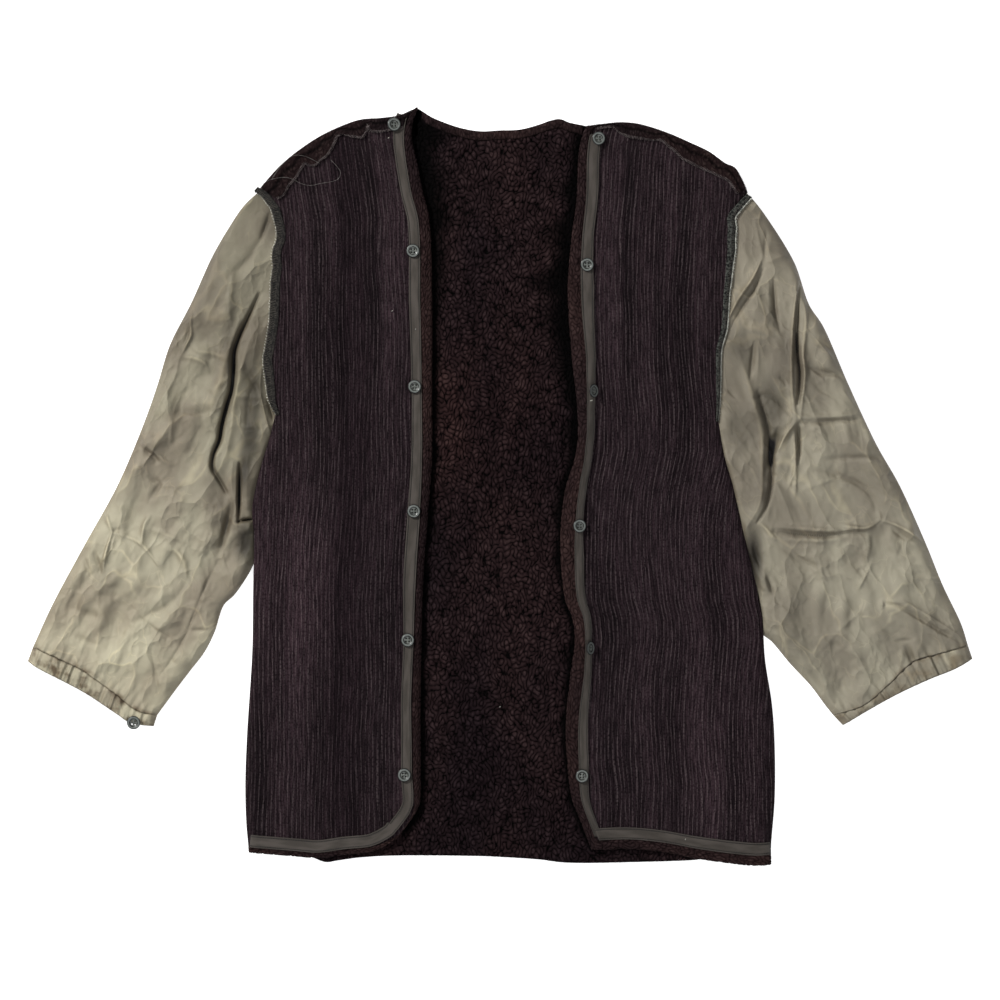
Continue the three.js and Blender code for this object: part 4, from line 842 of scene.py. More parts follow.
def make_knit(front, materials):
    """The knit backing of a front, from under the turned edge to the side seam."""
    v = np.linspace(0, 1, 190)[:, None]
    wide = front.width(v)
    share = np.linspace(0, 1, 185)[None, :]
    from_edge = 1.2 + (wide - 1.2) * share
    from_edge, v = np.broadcast_arrays(from_edge, v)
    grid = front.surface(from_edge, v)
    x, up = grid[..., 0], grid[..., 1]
    straight = np.interp(np.maximum(up, 95), front.rows.up, front.rows.x)
    wale = front.sign * (x - straight * 0.65) + 1.8 * slow_noise(x * 2.2, up, 150, seed=11)
    past_tape = smooth((from_edge - front.row(v, "strip") - front.row(v, "tape") - TAPE_MARGIN) / 3)
    past_tape = past_tape * smooth((v * front.height(share) - HEM_STRIP[front.side] - HEM_TAPE) / 3)
    ridge = np.sin(2 * math.pi * wale / WALE + 1.5 * slow_noise(x, up, 90, seed=12))
    fine = np.sin(2 * math.pi * wale / (WALE * 0.46) + 2.5 * slow_noise(x, up, 60, seed=13))
    relief = 0.24 * ridge * (0.7 + 0.5 * slow_noise(x, up, 70, seed=14)) + 0.1 * fine
    grid[..., 2] += relief * past_tape - 0.5 * (1 - past_tape)
    part = slab(grid, FRONT_BOTTOM, {}, np.stack([wale, up], -1))
    return make_piece(f"front_{front.side}_knit", [part], materials)


EDGE_RADIUS = 2.6
EDGE_OVERHANG = 0.9
EDGE_COLUMNS = 30


def pile_edge(reach, place, floor, seed):
    """A rounded strip of turned pile: "reach" wide, and over its edge down to the cloth below.

    place(distance) gives points at a distance in from the edge."""
    rows = reach.shape[0]
    s = np.linspace(0, 1, EDGE_COLUMNS)[None, :]
    flat_share = 0.68
    distance = mix(reach, EDGE_RADIUS - EDGE_OVERHANG, np.clip(s / flat_share, 0, 1))
    angle = np.clip((s - flat_share) / (1 - flat_share), 0, 1) * math.radians(100)
    distance = distance - EDGE_RADIUS * np.sin(angle)
    drop = EDGE_RADIUS * (1 - np.cos(angle)) * (1 + 0.9 * (angle > math.radians(60)))
    grid = place(np.maximum(distance, 0.01))
    outward = place(np.full((rows, 1), 0.01)) - place(np.full((rows, 1), 4.0))
    outward[..., 2] = 0
    outward /= np.linalg.norm(outward, axis=-1, keepdims=True)
    grid = grid + outward * np.maximum(-distance, 0)[..., None]
    grid[..., 2] += 1.1 * np.sqrt(1 - np.clip(distance / reach, 0, 1) ** 6) - drop
    steps = np.diff(grid[:, :1], axis=0, prepend=grid[:1, :1])
    run = np.cumsum(np.linalg.norm(steps, axis=-1), axis=0)
    curl = PILE.at(s * (reach + 5) * 1.1 + seed, run * 1.05 + seed)
    normal = normals_of(grid)
    normal *= np.sign(normal[..., 2:3].mean())
    fade = smooth(s * 8) * 0.9 + 0.1
    grid += normal * ((dome(curl) - 0.75) * 1.3 * fade)[..., None]
    grid[..., 2] = np.maximum(grid[..., 2], floor + 0.1)
    return slab(grid, floor, {"curl": curl, "open": np.ones(curl.shape)})


def make_turned_edges(front, materials):
    v = np.linspace(0, 1, 640)[:, None]

    def down_the_front(distance):
        return front.surface(distance, np.broadcast_to(v, distance.shape))

    parts = [pile_edge(front.row(v, "strip") + 1, down_the_front, FRONT_BOTTOM - 0.3, 40)]
    u = np.linspace(0.02, 1, 170)[:, None]
    reach = np.full(u.shape, HEM_STRIP[front.side] + 1.0)
    tall = front.height(u)

    def along_the_hem(distance):
        across = np.broadcast_to(u, distance.shape)
        v_here = distance / tall
        return front.surface(across * front.width(v_here), v_here)

    parts.append(pile_edge(reach, along_the_hem, 2.2, 90))
    return make_piece(f"front_{front.side}_turned_pile", parts, materials)


TAPE_ROWS = (0.13, 0.87)  # where the tape's two rows of stitches lie across it


def tape_profile(t):
    """Height of the tape over its width: raised selvedges, with a row of stitches beside each."""
    selvedge = sum(np.exp(-((t - middle) / 0.07) ** 2) for middle in (0.06, 0.94))
    sewn = sum(np.exp(-((t - middle) / 0.05) ** 2) for middle in TAPE_ROWS)
    return 0.28 * selvedge - 0.3 * sewn


TAPE_MARGIN = 2.6  # the tape's selvedges, outside its two rows of stitches
TAPE_LIFT = SEAM_GAP + TRIM + 0.25


def tape_points(front, t, v):
    """The tape down a front edge: t across it, away from the edge."""
    strip, tape = front.row(v, "strip"), front.row(v, "tape")
    grid = front.surface(strip - TAPE_MARGIN / 3 + t * (tape + TAPE_MARGIN), v)
    ripple = 0.35 * slow_noise(grid[..., 0] * 2, grid[..., 1], 40, seed=21)
    grid[..., 2] += TAPE_LIFT + tape_profile(t) + ripple * np.sin(math.pi * t)
    return grid


def hem_tape_points(front, t, u):
    """The tape along a front's hem: t up from the hem, u across from the front edge."""
    v = (HEM_STRIP[front.side] + t * HEM_TAPE) / front.height(u)
    grid = front.surface(u * front.width(v), v)
    ripple = 0.35 * slow_noise(grid[..., 0], grid[..., 1] * 2, 40, seed=22)
    grid[..., 2] += TAPE_LIFT + tape_profile(t) + ripple * np.sin(math.pi * t)
    return grid


TAPE_TOP = 0.985  # share of the front edge where the tape is tucked into the neck


def mitred_tape(front, across):
    """The tape as two lengths that meet at a square hem corner, for shares across its width."""
    start = front.share_at_up(front.hem.at(np.zeros(1))[0, 1] + HEM_STRIP[front.side] + 4)
    v, t = np.meshgrid(np.linspace(start, TAPE_TOP, 420), across, indexing="ij")
    u, t_hem = np.meshgrid(np.linspace(0.055, 0.995, 120), across, indexing="ij")
    return [tape_points(front, t, v), hem_tape_points(front, t_hem, u)]


CORNER_REACH = 70  # length of tape on each side of a round hem corner that lies flat


def turning_tape(front, across):
    """The tape as one length that follows a round hem corner."""
    v, u = np.linspace(TAPE_TOP, 0, 430)[:, None], np.linspace(0, 0.995, 150)[1:, None]
    line = np.vstack([front.edge.at(v[:, 0]), front.hem.at(u[:, 0])])
    ahead = np.gradient(line, axis=0)
    ahead /= np.linalg.norm(ahead, axis=1, keepdims=True)
    soft = np.hanning(15) / np.hanning(15).sum()
    ahead = np.stack([np.convolve(np.pad(a, 7, "edge"), soft, "valid") for a in ahead.T], -1)
    inward = np.stack([-ahead[:, 1], ahead[:, 0]], -1) * front.sign
    strip = front.row(v, "strip") - TAPE_MARGIN / 3
    strip = np.vstack([strip, np.full(u.shape, HEM_STRIP[front.side])])
    width = np.vstack([front.row(v, "tape") + TAPE_MARGIN, np.full(u.shape, HEM_TAPE)])
    t = np.asarray(across)[None, :]
    inset = strip + t * width
    down = front.surface(inset[:len(v)], v + 0 * t)[..., 2]
    v_hem = inset[len(v):] / front.height(u)
    along = front.surface(u * front.width(v_hem), v_hem)[..., 2]
    run = np.concatenate([[0], np.cumsum(np.linalg.norm(np.diff(line, axis=0), axis=1))])
    away = smooth(np.abs(run - run[len(v) - 1]) / CORNER_REACH)[:, None]
    plan = line[:, None] + inward[:, None] * inset[..., None]
    z = mix(FRONT_TOP, np.vstack([down, along]), away) + TAPE_LIFT + tape_profile(t)
    ripple = 0.35 * slow_noise(plan[..., 0] * 2, plan[..., 1] * 2, 40, seed=21)
    return [with_height(plan, z + ripple * np.sin(math.pi * t))]


TAPE_FORM = {"left": turning_tape, "right": mitred_tape}


def make_tape(front, materials):
    across = np.linspace(0, 1, 17)
    parts = []
    for grid in TAPE_FORM[front.side](front, across):
        run = np.cumsum(np.linalg.norm(np.diff(grid[:, 8], axis=0, prepend=grid[:1, 8]), axis=-1))
        run, t = np.broadcast_arrays(run[:, None], across)
        flat = np.stack([t * HEM_TAPE, run], -1)
        parts.append(slab(grid, grid[..., 2] - TRIM, {"across": t}, flat))
    return make_piece(f"tape_{front.side}_twill", parts, materials)


# --------------------------------------------------------------------------------------------------
# Exposed seam allowances


def allowance_points(front, t, s):
    """A shoulder's allowance: t from the neck to the armhole, s from the seam down to its edge."""
    top = front.shoulder.at(t * 0.955 + 0.03)
    foot = Line(ALLOWANCE[front.side]).at(t)
    plan = mix(top, foot, s[..., None])
    depth = np.linalg.norm(top - foot, axis=-1) * s
    near_neck = smooth(t / 0.2) ** 2
    z = FRONT_TOP - rolled(depth) * near_neck + SEAM_GAP + 0.5
    return with_height(plan, z)


def make_allowance(front, materials):
    t, s = np.meshgrid(np.linspace(0, 1, 240), np.linspace(0, 1, 24), indexing="ij")
    grid = allowance_points(front, t, s)
    curl = PILE.at(grid[..., 0] * 1.15 + 70, grid[..., 1] * 1.15 + 50)
    edge = np.minimum(np.minimum(t * 240, (1 - t) * 240), 40 * (1 - s))
    body = 0.9 * slow_noise(grid[..., 0], grid[..., 1], 26, seed=31) * s
    body = 2.8 * np.sqrt(smooth(edge / 5)) + body
    gap_at = 0.42 + 0.1 * slow_noise(t * 170, t * 0, 22, seed=33)
    # Painted shade in the gap between the allowance's two layers and along its lower edge.
    shaded = 0.8 * np.exp(-(((s - gap_at) / 0.09) ** 2)) + 0.6 * np.exp(-(((s - 0.97) / 0.05) ** 2))
    body = body - 1.2 * np.exp(-(((s - gap_at) / 0.1) ** 2))
    grid[..., 2] += body + (dome(curl) - 0.8) * 0.7 * smooth(edge / 3)
    under = np.minimum(grid[..., 2] - 0.6, allowance_points(front, t, s)[..., 2] - 0.2)
    part = slab(grid, under, {"curl": curl, "open": 1 - np.clip(shaded, 0, 0.85)})
    return make_piece(f"shoulder_{front.side}_allowance", [part], materials)


# Width of each armhole's allowance at even steps from the armpit to the shoulder.
BAND = {
    "left": (4, 9.5, 10.5, 10.5, 10.5, 10.5, 10.5, 10, 10, 10, 9),
    "right": (2.5, 4.5, 5.5, 6.5, 7, 7, 7.5, 9, 10, 10, 9),
}


def band_points(front, t, s):
    """An armhole's allowance: t from armpit to shoulder, s from its seam (0) to its edge (1)."""
    outer = Line(BOUND_EDGE[front.side])
    edge = outer.at(t)
    ahead = outer.at(t + 0.01) - outer.at(t - 0.01)
    ahead /= np.maximum(np.linalg.norm(ahead, axis=-1, keepdims=True), 1e-9)
    inward = np.stack([ahead[..., 1], -ahead[..., 0]], -1) * -front.sign
    inward[..., 1] *= 0.6
    wide = np.interp(t, np.linspace(0, 1, len(BAND[front.side])), BAND[front.side])
    plan = edge + inward * ((1 - s) * wide)[..., None]
    wave = 0.5 * slow_noise(plan[..., 0] * 0.6, plan[..., 1], 26, seed=41) * s
    z = FRONT_TOP + 1.0 - 3.0 * s**2.4 + wave
    return with_height(plan, z)


def make_band(front, materials):
    t, s = np.meshgrid(np.linspace(0.0, 1, 260), np.linspace(0, 1, 12), indexing="ij")
    grid = band_points(front, t, s)
    cord = np.exp(-((s - 0.94) / 0.08) ** 2)
    grid[..., 2] += 0.5 * cord
    flat = np.stack([s * BAND["left"][5], t * Line(BOUND_EDGE[front.side]).length], -1)
    part = slab(grid, grid[..., 2] - 1.3, {"across": s}, flat)
    return make_piece(f"armhole_{front.side}_allowance", [part], materials)


# --------------------------------------------------------------------------------------------------
# Sleeves: u runs from the outer fold (0) to the underarm (1), v from the armhole (0) to the casing

LOFT_FADE = 0.12
ARMHOLE_LOFT = 5.4
SLEEVE_COLUMNS, SLEEVE_ROWS = 124, 306


class Sleeve:
    def __init__(self, side):
        self.side = side
        self.sign = SIGN[side]
        self.rows = SLEEVES[side]
        front = FRONTS[side]
        turn = math.radians(self.rows.slant)

        def local(rows):
            out = rows.down * math.sin(turn) - rows.across * math.cos(turn)
            x = self.rows.tip[0] + self.sign * out
            up = self.rows.tip[1] - rows.down * math.cos(turn) - rows.across * math.sin(turn)
            return np.column_stack([x, up])

        def along_side(start, end, count, apart):
            p = front.side_at(np.linspace(start, end, count)).copy()
            p[:, 0] += self.sign * apart
            return p

        self.armhole = Line(along_side(1, front.pit, 17, -2))
        v = np.linspace(0, front.pit, 400)
        leaves = np.interp(self.rows.leaves_body, front.side_at(v)[:, 1], v)
        self.casing = Line(local(self.rows.casing_seam))
        self.end = Line(local(self.rows.casing_end))
        one, zero = np.ones(1), np.zeros(1)
        self.underarm = Line(np.vstack([
            self.armhole.at(one), along_side(front.pit - 0.01, leaves, 15, -2),
            local(self.rows.underarm), self.casing.at(one),
        ]))
        ends = self.armhole.at(zero), self.casing.at(zero)
        self.outer = Line(np.vstack([ends[0], local(self.rows.outer), ends[1]]))
        self.flat = patch(self.armhole.at, self.casing.at, self.outer.at, self.underarm.at)

    def width(self, v):
        return np.linalg.norm(self.outer.at(v) - self.underarm.at(v), axis=-1)


# How the cloth scales its creases' heights, widths and crispness.
CREST = SimpleNamespace(height=1.15, width=0.68, crispness=0.5)
TROUGH = SimpleNamespace(height=1.35, width=0.8, crispness=1)


def crease_height(creases, plan):
    """Height of all the creases at points of the plan."""
    total = np.zeros(plan.shape[:-1])
    flat = plan.reshape(-1, 2)
    for tall, wide, crispness, lean, *route in creases:
        route = Line(route, fine=7).points if len(route) > 2 else np.array(route, float)
        reach = 4 * wide
        low, high = route.min(0) - reach, route.max(0) + reach
        near = np.flatnonzero(((flat > low) & (flat < high)).all(1))
        if not len(near):
            continue
        p = flat[near]
        best = np.full(len(p), 1e9)
        signed, share = np.zeros(len(p)), np.zeros(len(p))
        steps = np.diff(route, axis=0)
        run = np.concatenate([[0], np.cumsum(np.linalg.norm(steps, axis=1))])
        for i, step in enumerate(steps):
            span = max(step @ step, 1e-9)
            t = np.clip((p - route[i]) @ step / span, 0, 1)
            offset = p - route[i] - t[:, None] * step
            away = np.hypot(*offset.T)
            closer = away < best
            best = np.where(closer, away, best)
            side = np.sign(step[0] * offset[:, 1] - step[1] * offset[:, 0])
            signed = np.where(closer, side, signed)
            share = np.where(closer, (run[i] + t * math.sqrt(span)) / run[-1], share)
        scale = CREST if tall > 0 else TROUGH
        taper = np.sin(math.pi * np.clip(share * 0.92 + 0.04, 0, 1)) ** 0.6
        half = wide * scale.width * (1 + lean * signed) * (0.5 + 0.5 * taper)
        power = 1 + (crispness - 1) * scale.crispness
        total.reshape(-1)[near] += tall * scale.height * np.exp(-((best / half) ** power)) * taper
    return total


def ridged(x, y, size, seed):
    """Fine wrinkles: crisp crests where smooth noise changes sign."""
    wave = slow_noise(x, y, size, seed)
    return np.exp(-np.abs(wave) * 3.2) * (0.5 + 0.5 * slow_noise(x, y, size * 1.7, seed + 1))


def satin_wrinkles(sleeve, plan, v):
    """Small wrinkles between the creases: long crests, crisp in places."""
    turn = math.radians(sleeve.rows.slant)
    x, y = plan[..., 0] * sleeve.sign, plan[..., 1]
    along = y * math.cos(turn) - x * math.sin(turn)
    across = x * math.cos(turn) + y * math.sin(turn) + 700 * (sleeve.sign > 0)
    bend = 14 * slow_noise(across, along, 120, seed=55)
    total = 0
    for i, (field, tall) in enumerate(WRINKLES):
        wave = field.at(across + bend, along + bend * 0.7)
        crisp = 0.8 - np.sqrt(wave**2 + 0.04)
        total = total + tall * mix(wave * 0.6, crisp, 0.55 if i % 2 == 0 else -0.55)
    calm = 0.4 + 0.6 * smooth((v - 0.12) / 0.3)
    return total * calm * (0.8 + 0.35 * slow_noise(across, along, 160, seed=56))


def sleeve_height(sleeve, plan, u, v):
    """The sleeve's top face."""
    wide = sleeve.width(v)
    to_fold = np.minimum(u, 1 - u) * wide
    round_over = np.clip(1 - np.clip(1 - to_fold / 16, 0, 1) ** 2.3, 0, 1)
    near_casing = mix(SLEEVE_LOFT, CASING_LOFT, smooth((v - 1 + LOFT_FADE) / LOFT_FADE))
    free = SEAM_GAP + near_casing * round_over + 0.5
    base = mix(ARMHOLE_LOFT, free, smooth(v / LOFT_FADE))
    at_ends = smooth(v / 0.05) * smooth((1 - v) / 0.03)
    at_sides = smooth(to_fold / 12)
    low_side = smooth((to_fold - 1) / 6)
    folds = crease_height(CREASES[sleeve.side], plan) * low_side * smooth(v / 0.02)
    wrinkles = satin_wrinkles(sleeve, plan, v) * at_ends * at_sides
    wander = 1.2 * slow_noise(u * 300, v * 100, 60, 5)
    gather = 0.7 * np.sin(u * sleeve.rows.gathers * 2 * math.pi + wander)
    gather = gather * smooth((v - 0.955) / 0.045) * at_sides
    ceiling = base + SATIN + folds + wrinkles + gather
    return np.maximum(ceiling, SATIN + 0.4 * smooth(to_fold / 4) + 0.2), folds


def shaded(side, plan):
    """How dark the painted shade in the hollows by the armpit is, from 0 to 1."""
    light = np.ones(plan.shape[:-1])
    for x, up, across, along, dark in SHADED[side]:
        away = ((plan[..., 0] - x) / across) ** 2 + ((plan[..., 1] - up) / along) ** 2
        light *= 1 - dark * np.exp(-(away**1.5))
    return 1 - light


def make_sleeve_top(sleeve, materials):
    t = np.linspace(0, 1, SLEEVE_COLUMNS)
    u = t - np.sin(2 * math.pi * t) / (2 * math.pi) * 0.45
    v, u = np.meshgrid(np.linspace(0, 1, SLEEVE_ROWS), u, indexing="ij")
    plan = sleeve.flat(u, v)
    height, folds = sleeve_height(sleeve, plan, u, v)
    grid = with_height(plan, height)
    turn = math.radians(sleeve.rows.slant)
    along = plan[..., 1] * math.cos(turn) - plan[..., 0] * sleeve.sign * math.sin(turn)
    across = plan[..., 0] * sleeve.sign * math.cos(turn) + plan[..., 1] * math.sin(turn)
    faces = quads_of(np.arange(u.size).reshape(u.shape))
    if sleeve.sign > 0:
        faces = faces[:, ::-1]
    part = SimpleNamespace(
        points=grid.reshape(-1, 3), faces=faces.tolist(), round_faces=len(faces),
        marks={"seam": v.ravel(), "fold": folds.ravel(), "shaded": shaded(sleeve.side, plan).ravel()},
        flat_map=np.stack([across, along], -1).reshape(-1, 2),
    )
    made = make_piece(f"sleeve_{sleeve.side}_top_satin", [part], materials)
    made.data.update()
    if made.data.polygons[len(faces) // 2].normal.z < 0:
        made.data.flip_normals()
    thicken = made.modifiers.new("thickness", "SOLIDIFY")
    thicken.thickness = 0.6 * MM
    thicken.offset = -1
    return made


def make_sleeve_under(sleeve, materials):
    v, u = np.meshgrid(np.linspace(0, 0.996, 90), np.linspace(0, 1, 36), indexing="ij")
    inset = UNDER_INSET / sleeve.width(v)
    plan = sleeve.flat(mix(inset, 1 - inset, u), v)
    x, y = plan[..., 0], plan[..., 1]
    inner = smooth(np.minimum(u, 1 - u) * 12) * smooth(v * 12) * smooth((1 - v) * 14)
    z = SATIN - 0.5 + 0.45 * inner * (ridged(x, y, 60, 81) + ridged(x * 0.8, y * 1.3, 34, 83))
    part = slab(with_height(plan, z), 0, {"seam": v}, plan)
    return make_piece(f"sleeve_{sleeve.side}_under_satin", [part], materials)


GATHER = 1.1


def make_casing(sleeve, materials):
    """The gathered casing: a flattened ring whose top puckers along both of its edges."""
    per_gather = 14
    count = sleeve.rows.gathers * per_gather
    ups = np.linspace(0, 1, count + 1)
    downs = np.linspace(1, 0, 41)
    t = np.linspace(0, 1, 12)[:, None]
    length = sleeve.width(np.ones(1))[0]

    def plan(u):
        start, end = sleeve.casing.at(u), sleeve.end.at(u)
        return mix(start[None], end[None], mix(0.02, 1, t)[..., None])

    to_fold = np.minimum(ups, 1 - ups) * length
    loft = np.clip(1 - np.clip(1 - to_fold / 14, 0, 1) ** 2.2, 0, 1)[None]
    uneven = 0.7 * slow_noise(ups * 240, ups * 0, 34, seed=91 + sleeve.sign)
    phase = ups * sleeve.rows.gathers * 2 * math.pi + 1.6 * uneven
    pucker = np.sin(phase)[None] * (1 - 0.55 * t)
    pucker = pucker + 0.55 * np.sin(phase * 1.7 + 1)[None] * (0.3 + 0.7 * t)
    strength = (0.75 + 0.4 * slow_noise(ups * 300, ups * 0, 50, seed=95))[None]
    belly = 1.6 * np.sin(math.pi * np.clip(t * 0.9 + 0.08, 0, 1)) - 1.0
    top = SATIN + SEAM_GAP + 0.4 + CASING_LOFT * loft
    top = top + (GATHER * pucker * strength + belly) * smooth(loft)
    upper = with_height(plan(ups), np.maximum(top, SATIN + 0.5))
    lower = with_height(plan(downs), 0)
    outer = np.concatenate([upper, lower], 1)
    inward = lambda u: np.clip(u, 1.5 / length, 1 - 1.5 / length)
    inner_top = with_height(plan(inward(ups)), np.maximum(top - 0.9, 1.3))
    inner = np.concatenate([inner_top, with_height(plan(inward(downs)), 0.8)], 1)
    rows, columns = outer.shape[:2]
    index = np.arange(rows * columns).reshape(rows, columns)
    index = np.hstack([index, index[:, :1]])
    inside = index + rows * columns
    faces = quads_of(index).tolist() + [face[::-1] for face in quads_of(inside).tolist()]
    for a, b in ((inside[0], index[0]), (index[-1], inside[-1])):
        faces += np.stack([a[:-1], a[1:], b[1:], b[:-1]], -1).tolist()
    if sleeve.sign < 0:
        faces = [face[::-1] for face in faces]
    flat = plan(ups)
    flat = np.concatenate([flat, plan(downs)], 1).reshape(-1, 2)
    part = SimpleNamespace(
        points=np.vstack([outer.reshape(-1, 3), inner.reshape(-1, 3)]), faces=faces,
        round_faces=len(faces), marks={"seam": np.ones(2 * rows * columns)},
        flat_map=np.vstack([flat, flat]),
    )
    return make_piece(f"cuff_{sleeve.side}_gathered", [part], materials)


# --------------------------------------------------------------------------------------------------
# Node trees


class Nodes:
    """Short calls that add linked nodes to a tree."""

    def __init__(self, tree):
        self.tree = tree

    def link(self, source, target):
        self.tree.links.new(source, target)

    def add(self, kind, inputs=None, **settings):
        made = self.tree.nodes.new(kind)
        for key, value in settings.items():
            setattr(made, key, value)
        for key, value in (inputs or {}).items():
            if isinstance(value, bpy.types.NodeSocket):
                self.link(value, made.inputs[key])
            else:
                made.inputs[key].default_value = value
        return made

    def math(self, operation, a, b=0.0):
        return self.add("ShaderNodeMath", {0: a, 1: b}, operation=operation).outputs[0]

    def times(self, a, b):
        return self.math("MULTIPLY", a, b)

    def plus(self, a, b):
        return self.math("ADD", a, b)

    def vector(self, operation, a, b):
        return self.add("ShaderNodeVectorMath", {0: a, 1: b}, operation=operation).outputs[0]

    def measure(self, operation, a, b=(0, 0, 0)):
        return self.add("ShaderNodeVectorMath", {0: a, 1: b}, operation=operation).outputs["Value"]

    def apart(self, value, middle):
        """Distance of a value from a middle."""
        return self.math("ABSOLUTE", self.math("SUBTRACT", value, middle))

    def mark(self, name):
        return self.add("ShaderNodeAttribute", attribute_name=name).outputs["Fac"]

    def cloth_place(self):
        return self.add("ShaderNodeUVMap", uv_map="cloth").outputs["UV"]

    def object_place(self):
        return self.add("ShaderNodeTexCoord").outputs["Object"]

    def noise(self, place, scale, detail):
        inputs = {"Vector": place, "Scale": scale, "Detail": detail}
        return self.add("ShaderNodeTexNoise", inputs).outputs[0]

    def stretched_noise(self, place, stretch, detail=3):
        return self.noise(self.vector("MULTIPLY", place, stretch), 1, detail)

    def between(self, value, low, high):
        inputs = {"Value": value, "From Min": low, "From Max": high}
        return self.add("ShaderNodeMapRange", inputs, interpolation_type="SMOOTHSTEP").outputs[0]

    def blend(self, share, a, b, blend_type="MIX"):
        inputs = {0: share, 6: a, 7: b}
        return self.add("ShaderNodeMix", inputs, data_type="RGBA", blend_type=blend_type).outputs[2]

    def tinted(self, shade, tint):
        return self.blend(1.0, shade, tint, "MULTIPLY")

    def group(self, tree, **inputs):
        return self.add("ShaderNodeGroup", inputs, node_tree=tree).outputs[0]


# --------------------------------------------------------------------------------------------------
# Sewing: one rule that lays a thread at even steps along lines


def stitch_rule():
    tree = bpy.data.node_groups.new("stitch_row", "GeometryNodeTree")
    face = tree.interface
    face.new_socket("Geometry", in_out="INPUT", socket_type="NodeSocketGeometry")
    for name in ("Spacing", "Length", "Thread", "Arch", "Turn", "Unevenness"):
        face.new_socket(name, in_out="INPUT", socket_type="NodeSocketFloat")
    face.new_socket("Seed", in_out="INPUT", socket_type="NodeSocketInt")
    face.new_socket("Material", in_out="INPUT", socket_type="NodeSocketMaterial")
    face.new_socket("Geometry", in_out="OUTPUT", socket_type="NodeSocketGeometry")
    sizes = tree.nodes.new("NodeGroupInput").outputs

    nodes = Nodes(tree)

    def first(kind, inputs, **settings):
        return nodes.add(kind, inputs, **settings).outputs[0]

    line = first("GeometryNodeMeshToCurve", {"Mesh": sizes["Geometry"]})
    steps = nodes.add(
        "GeometryNodeCurveToPoints", {"Curve": line, "Length": sizes["Spacing"]}, mode="LENGTH"
    ).outputs
    half = nodes.times(sizes["Length"], 0.5)
    arc = first("GeometryNodeCurveQuadraticBezier", {
        "Resolution": 3, "Start": first("ShaderNodeCombineXYZ", {"X": nodes.times(half, -1.0)}),
        "Middle": first("ShaderNodeCombineXYZ", {"Z": sizes["Arch"]}),
        "End": first("ShaderNodeCombineXYZ", {"X": half}),
    })
    section = first("GeometryNodeCurvePrimitiveCircle", {"Resolution": 4, "Radius": sizes["Thread"]})
    thread = first("GeometryNodeCurveToMesh", {
        "Curve": arc, "Profile Curve": section, "Fill Caps": True,
    })
    ahead = first("FunctionNodeAlignRotationToVector", {"Vector": steps["Tangent"]}, axis="X")
    chance = nodes.add("FunctionNodeRandomValue", {
        2: nodes.times(sizes["Unevenness"], -1.0), 3: sizes["Unevenness"], "Seed": sizes["Seed"],
    }, data_type="FLOAT").outputs[1]
    turn = first("FunctionNodeAxisAngleToRotation", {
        "Axis": (0, 0, 1), "Angle": nodes.plus(sizes["Turn"], chance),
    })
    turned = first("FunctionNodeRotateRotation", {
        "Rotation": ahead, "Rotate By": turn,
    }, rotation_space="LOCAL")
    laid = first("GeometryNodeInstanceOnPoints", {
        "Points": steps["Points"], "Instance": thread, "Rotation": turned,
    })
    real = first("GeometryNodeRealizeInstances", {"Geometry": laid})
    finished = first("GeometryNodeSetMaterial", {"Geometry": real, "Material": sizes["Material"]})
    nodes.add("NodeGroupOutput", {0: finished})
    return tree


STITCH_RULE = stitch_rule()


def sew(name, routes, material, seed, spacing, length, thread, arch, turn, uneven):
    """Stitches along routes of points in millimetres, as one plain mesh."""
    points, edges = [], []
    for route in routes:
        start = len(points)
        points += to_metres(route).tolist()
        edges += [(start + i, start + i + 1) for i in range(len(route) - 1)]
    mesh = bpy.data.meshes.new(name + "_lines")
    mesh.from_pydata(points, edges, [])
    lines = add_object(name + "_lines", mesh)
    modifier = lines.modifiers.new("stitches", "NODES")
    modifier.node_group = STITCH_RULE
    values = {
        "Spacing": spacing * MM, "Length": length * MM, "Thread": thread * MM, "Arch": arch * MM,
        "Turn": math.radians(turn), "Unevenness": uneven, "Seed": seed, "Material": material,
    }
    for item in STITCH_RULE.interface.items_tree:
        if item.in_out == "INPUT" and item.name in values:
            modifier[item.identifier] = values[item.name]
    sewn = evaluated_mesh(lines)
    sewn.name = name
    bpy.data.objects.remove(lines)
    return add_object(name, sewn)


# --------------------------------------------------------------------------------------------------
# Materials


def colour(red, green, blue):
    """A colour from screen values of 0 to 255."""
    parts = [c / 255 for c in (red, green, blue)]
    return (*(c / 12.92 if c < 0.04 else ((c + 0.055) / 1.055) ** 2.4 for c in parts), 1)


def shader_group(name, inputs, output, kind):
    tree = bpy.data.node_groups.new(name, "ShaderNodeTree")
    for socket, socket_kind in inputs.items():
        tree.interface.new_socket(socket, in_out="INPUT", socket_type="NodeSocket" + socket_kind)
    tree.interface.new_socket(output, in_out="OUTPUT", socket_type="NodeSocket" + kind)
    nodes = Nodes(tree)
    return tree, nodes, nodes.add("NodeGroupInput").outputs


def two_tone_group():
    """Blends two colours by uneven, stretched patches."""
    tree, nodes, given = shader_group(
        "two_tones",
        {
            "Vector": "Vector", "Stretch": "Vector", "Low": "Color", "High": "Color",
            "From": "Float", "To": "Float",
        },
        "Color", "Color",
    )
    place = nodes.vector("MULTIPLY", given["Vector"], given["Stretch"])
    share = nodes.between(nodes.noise(place, 1, 4), given["From"], given["To"])
    nodes.add("NodeGroupOutput", {"Color": nodes.blend(share, given["Low"], given["High"])})
    return tree


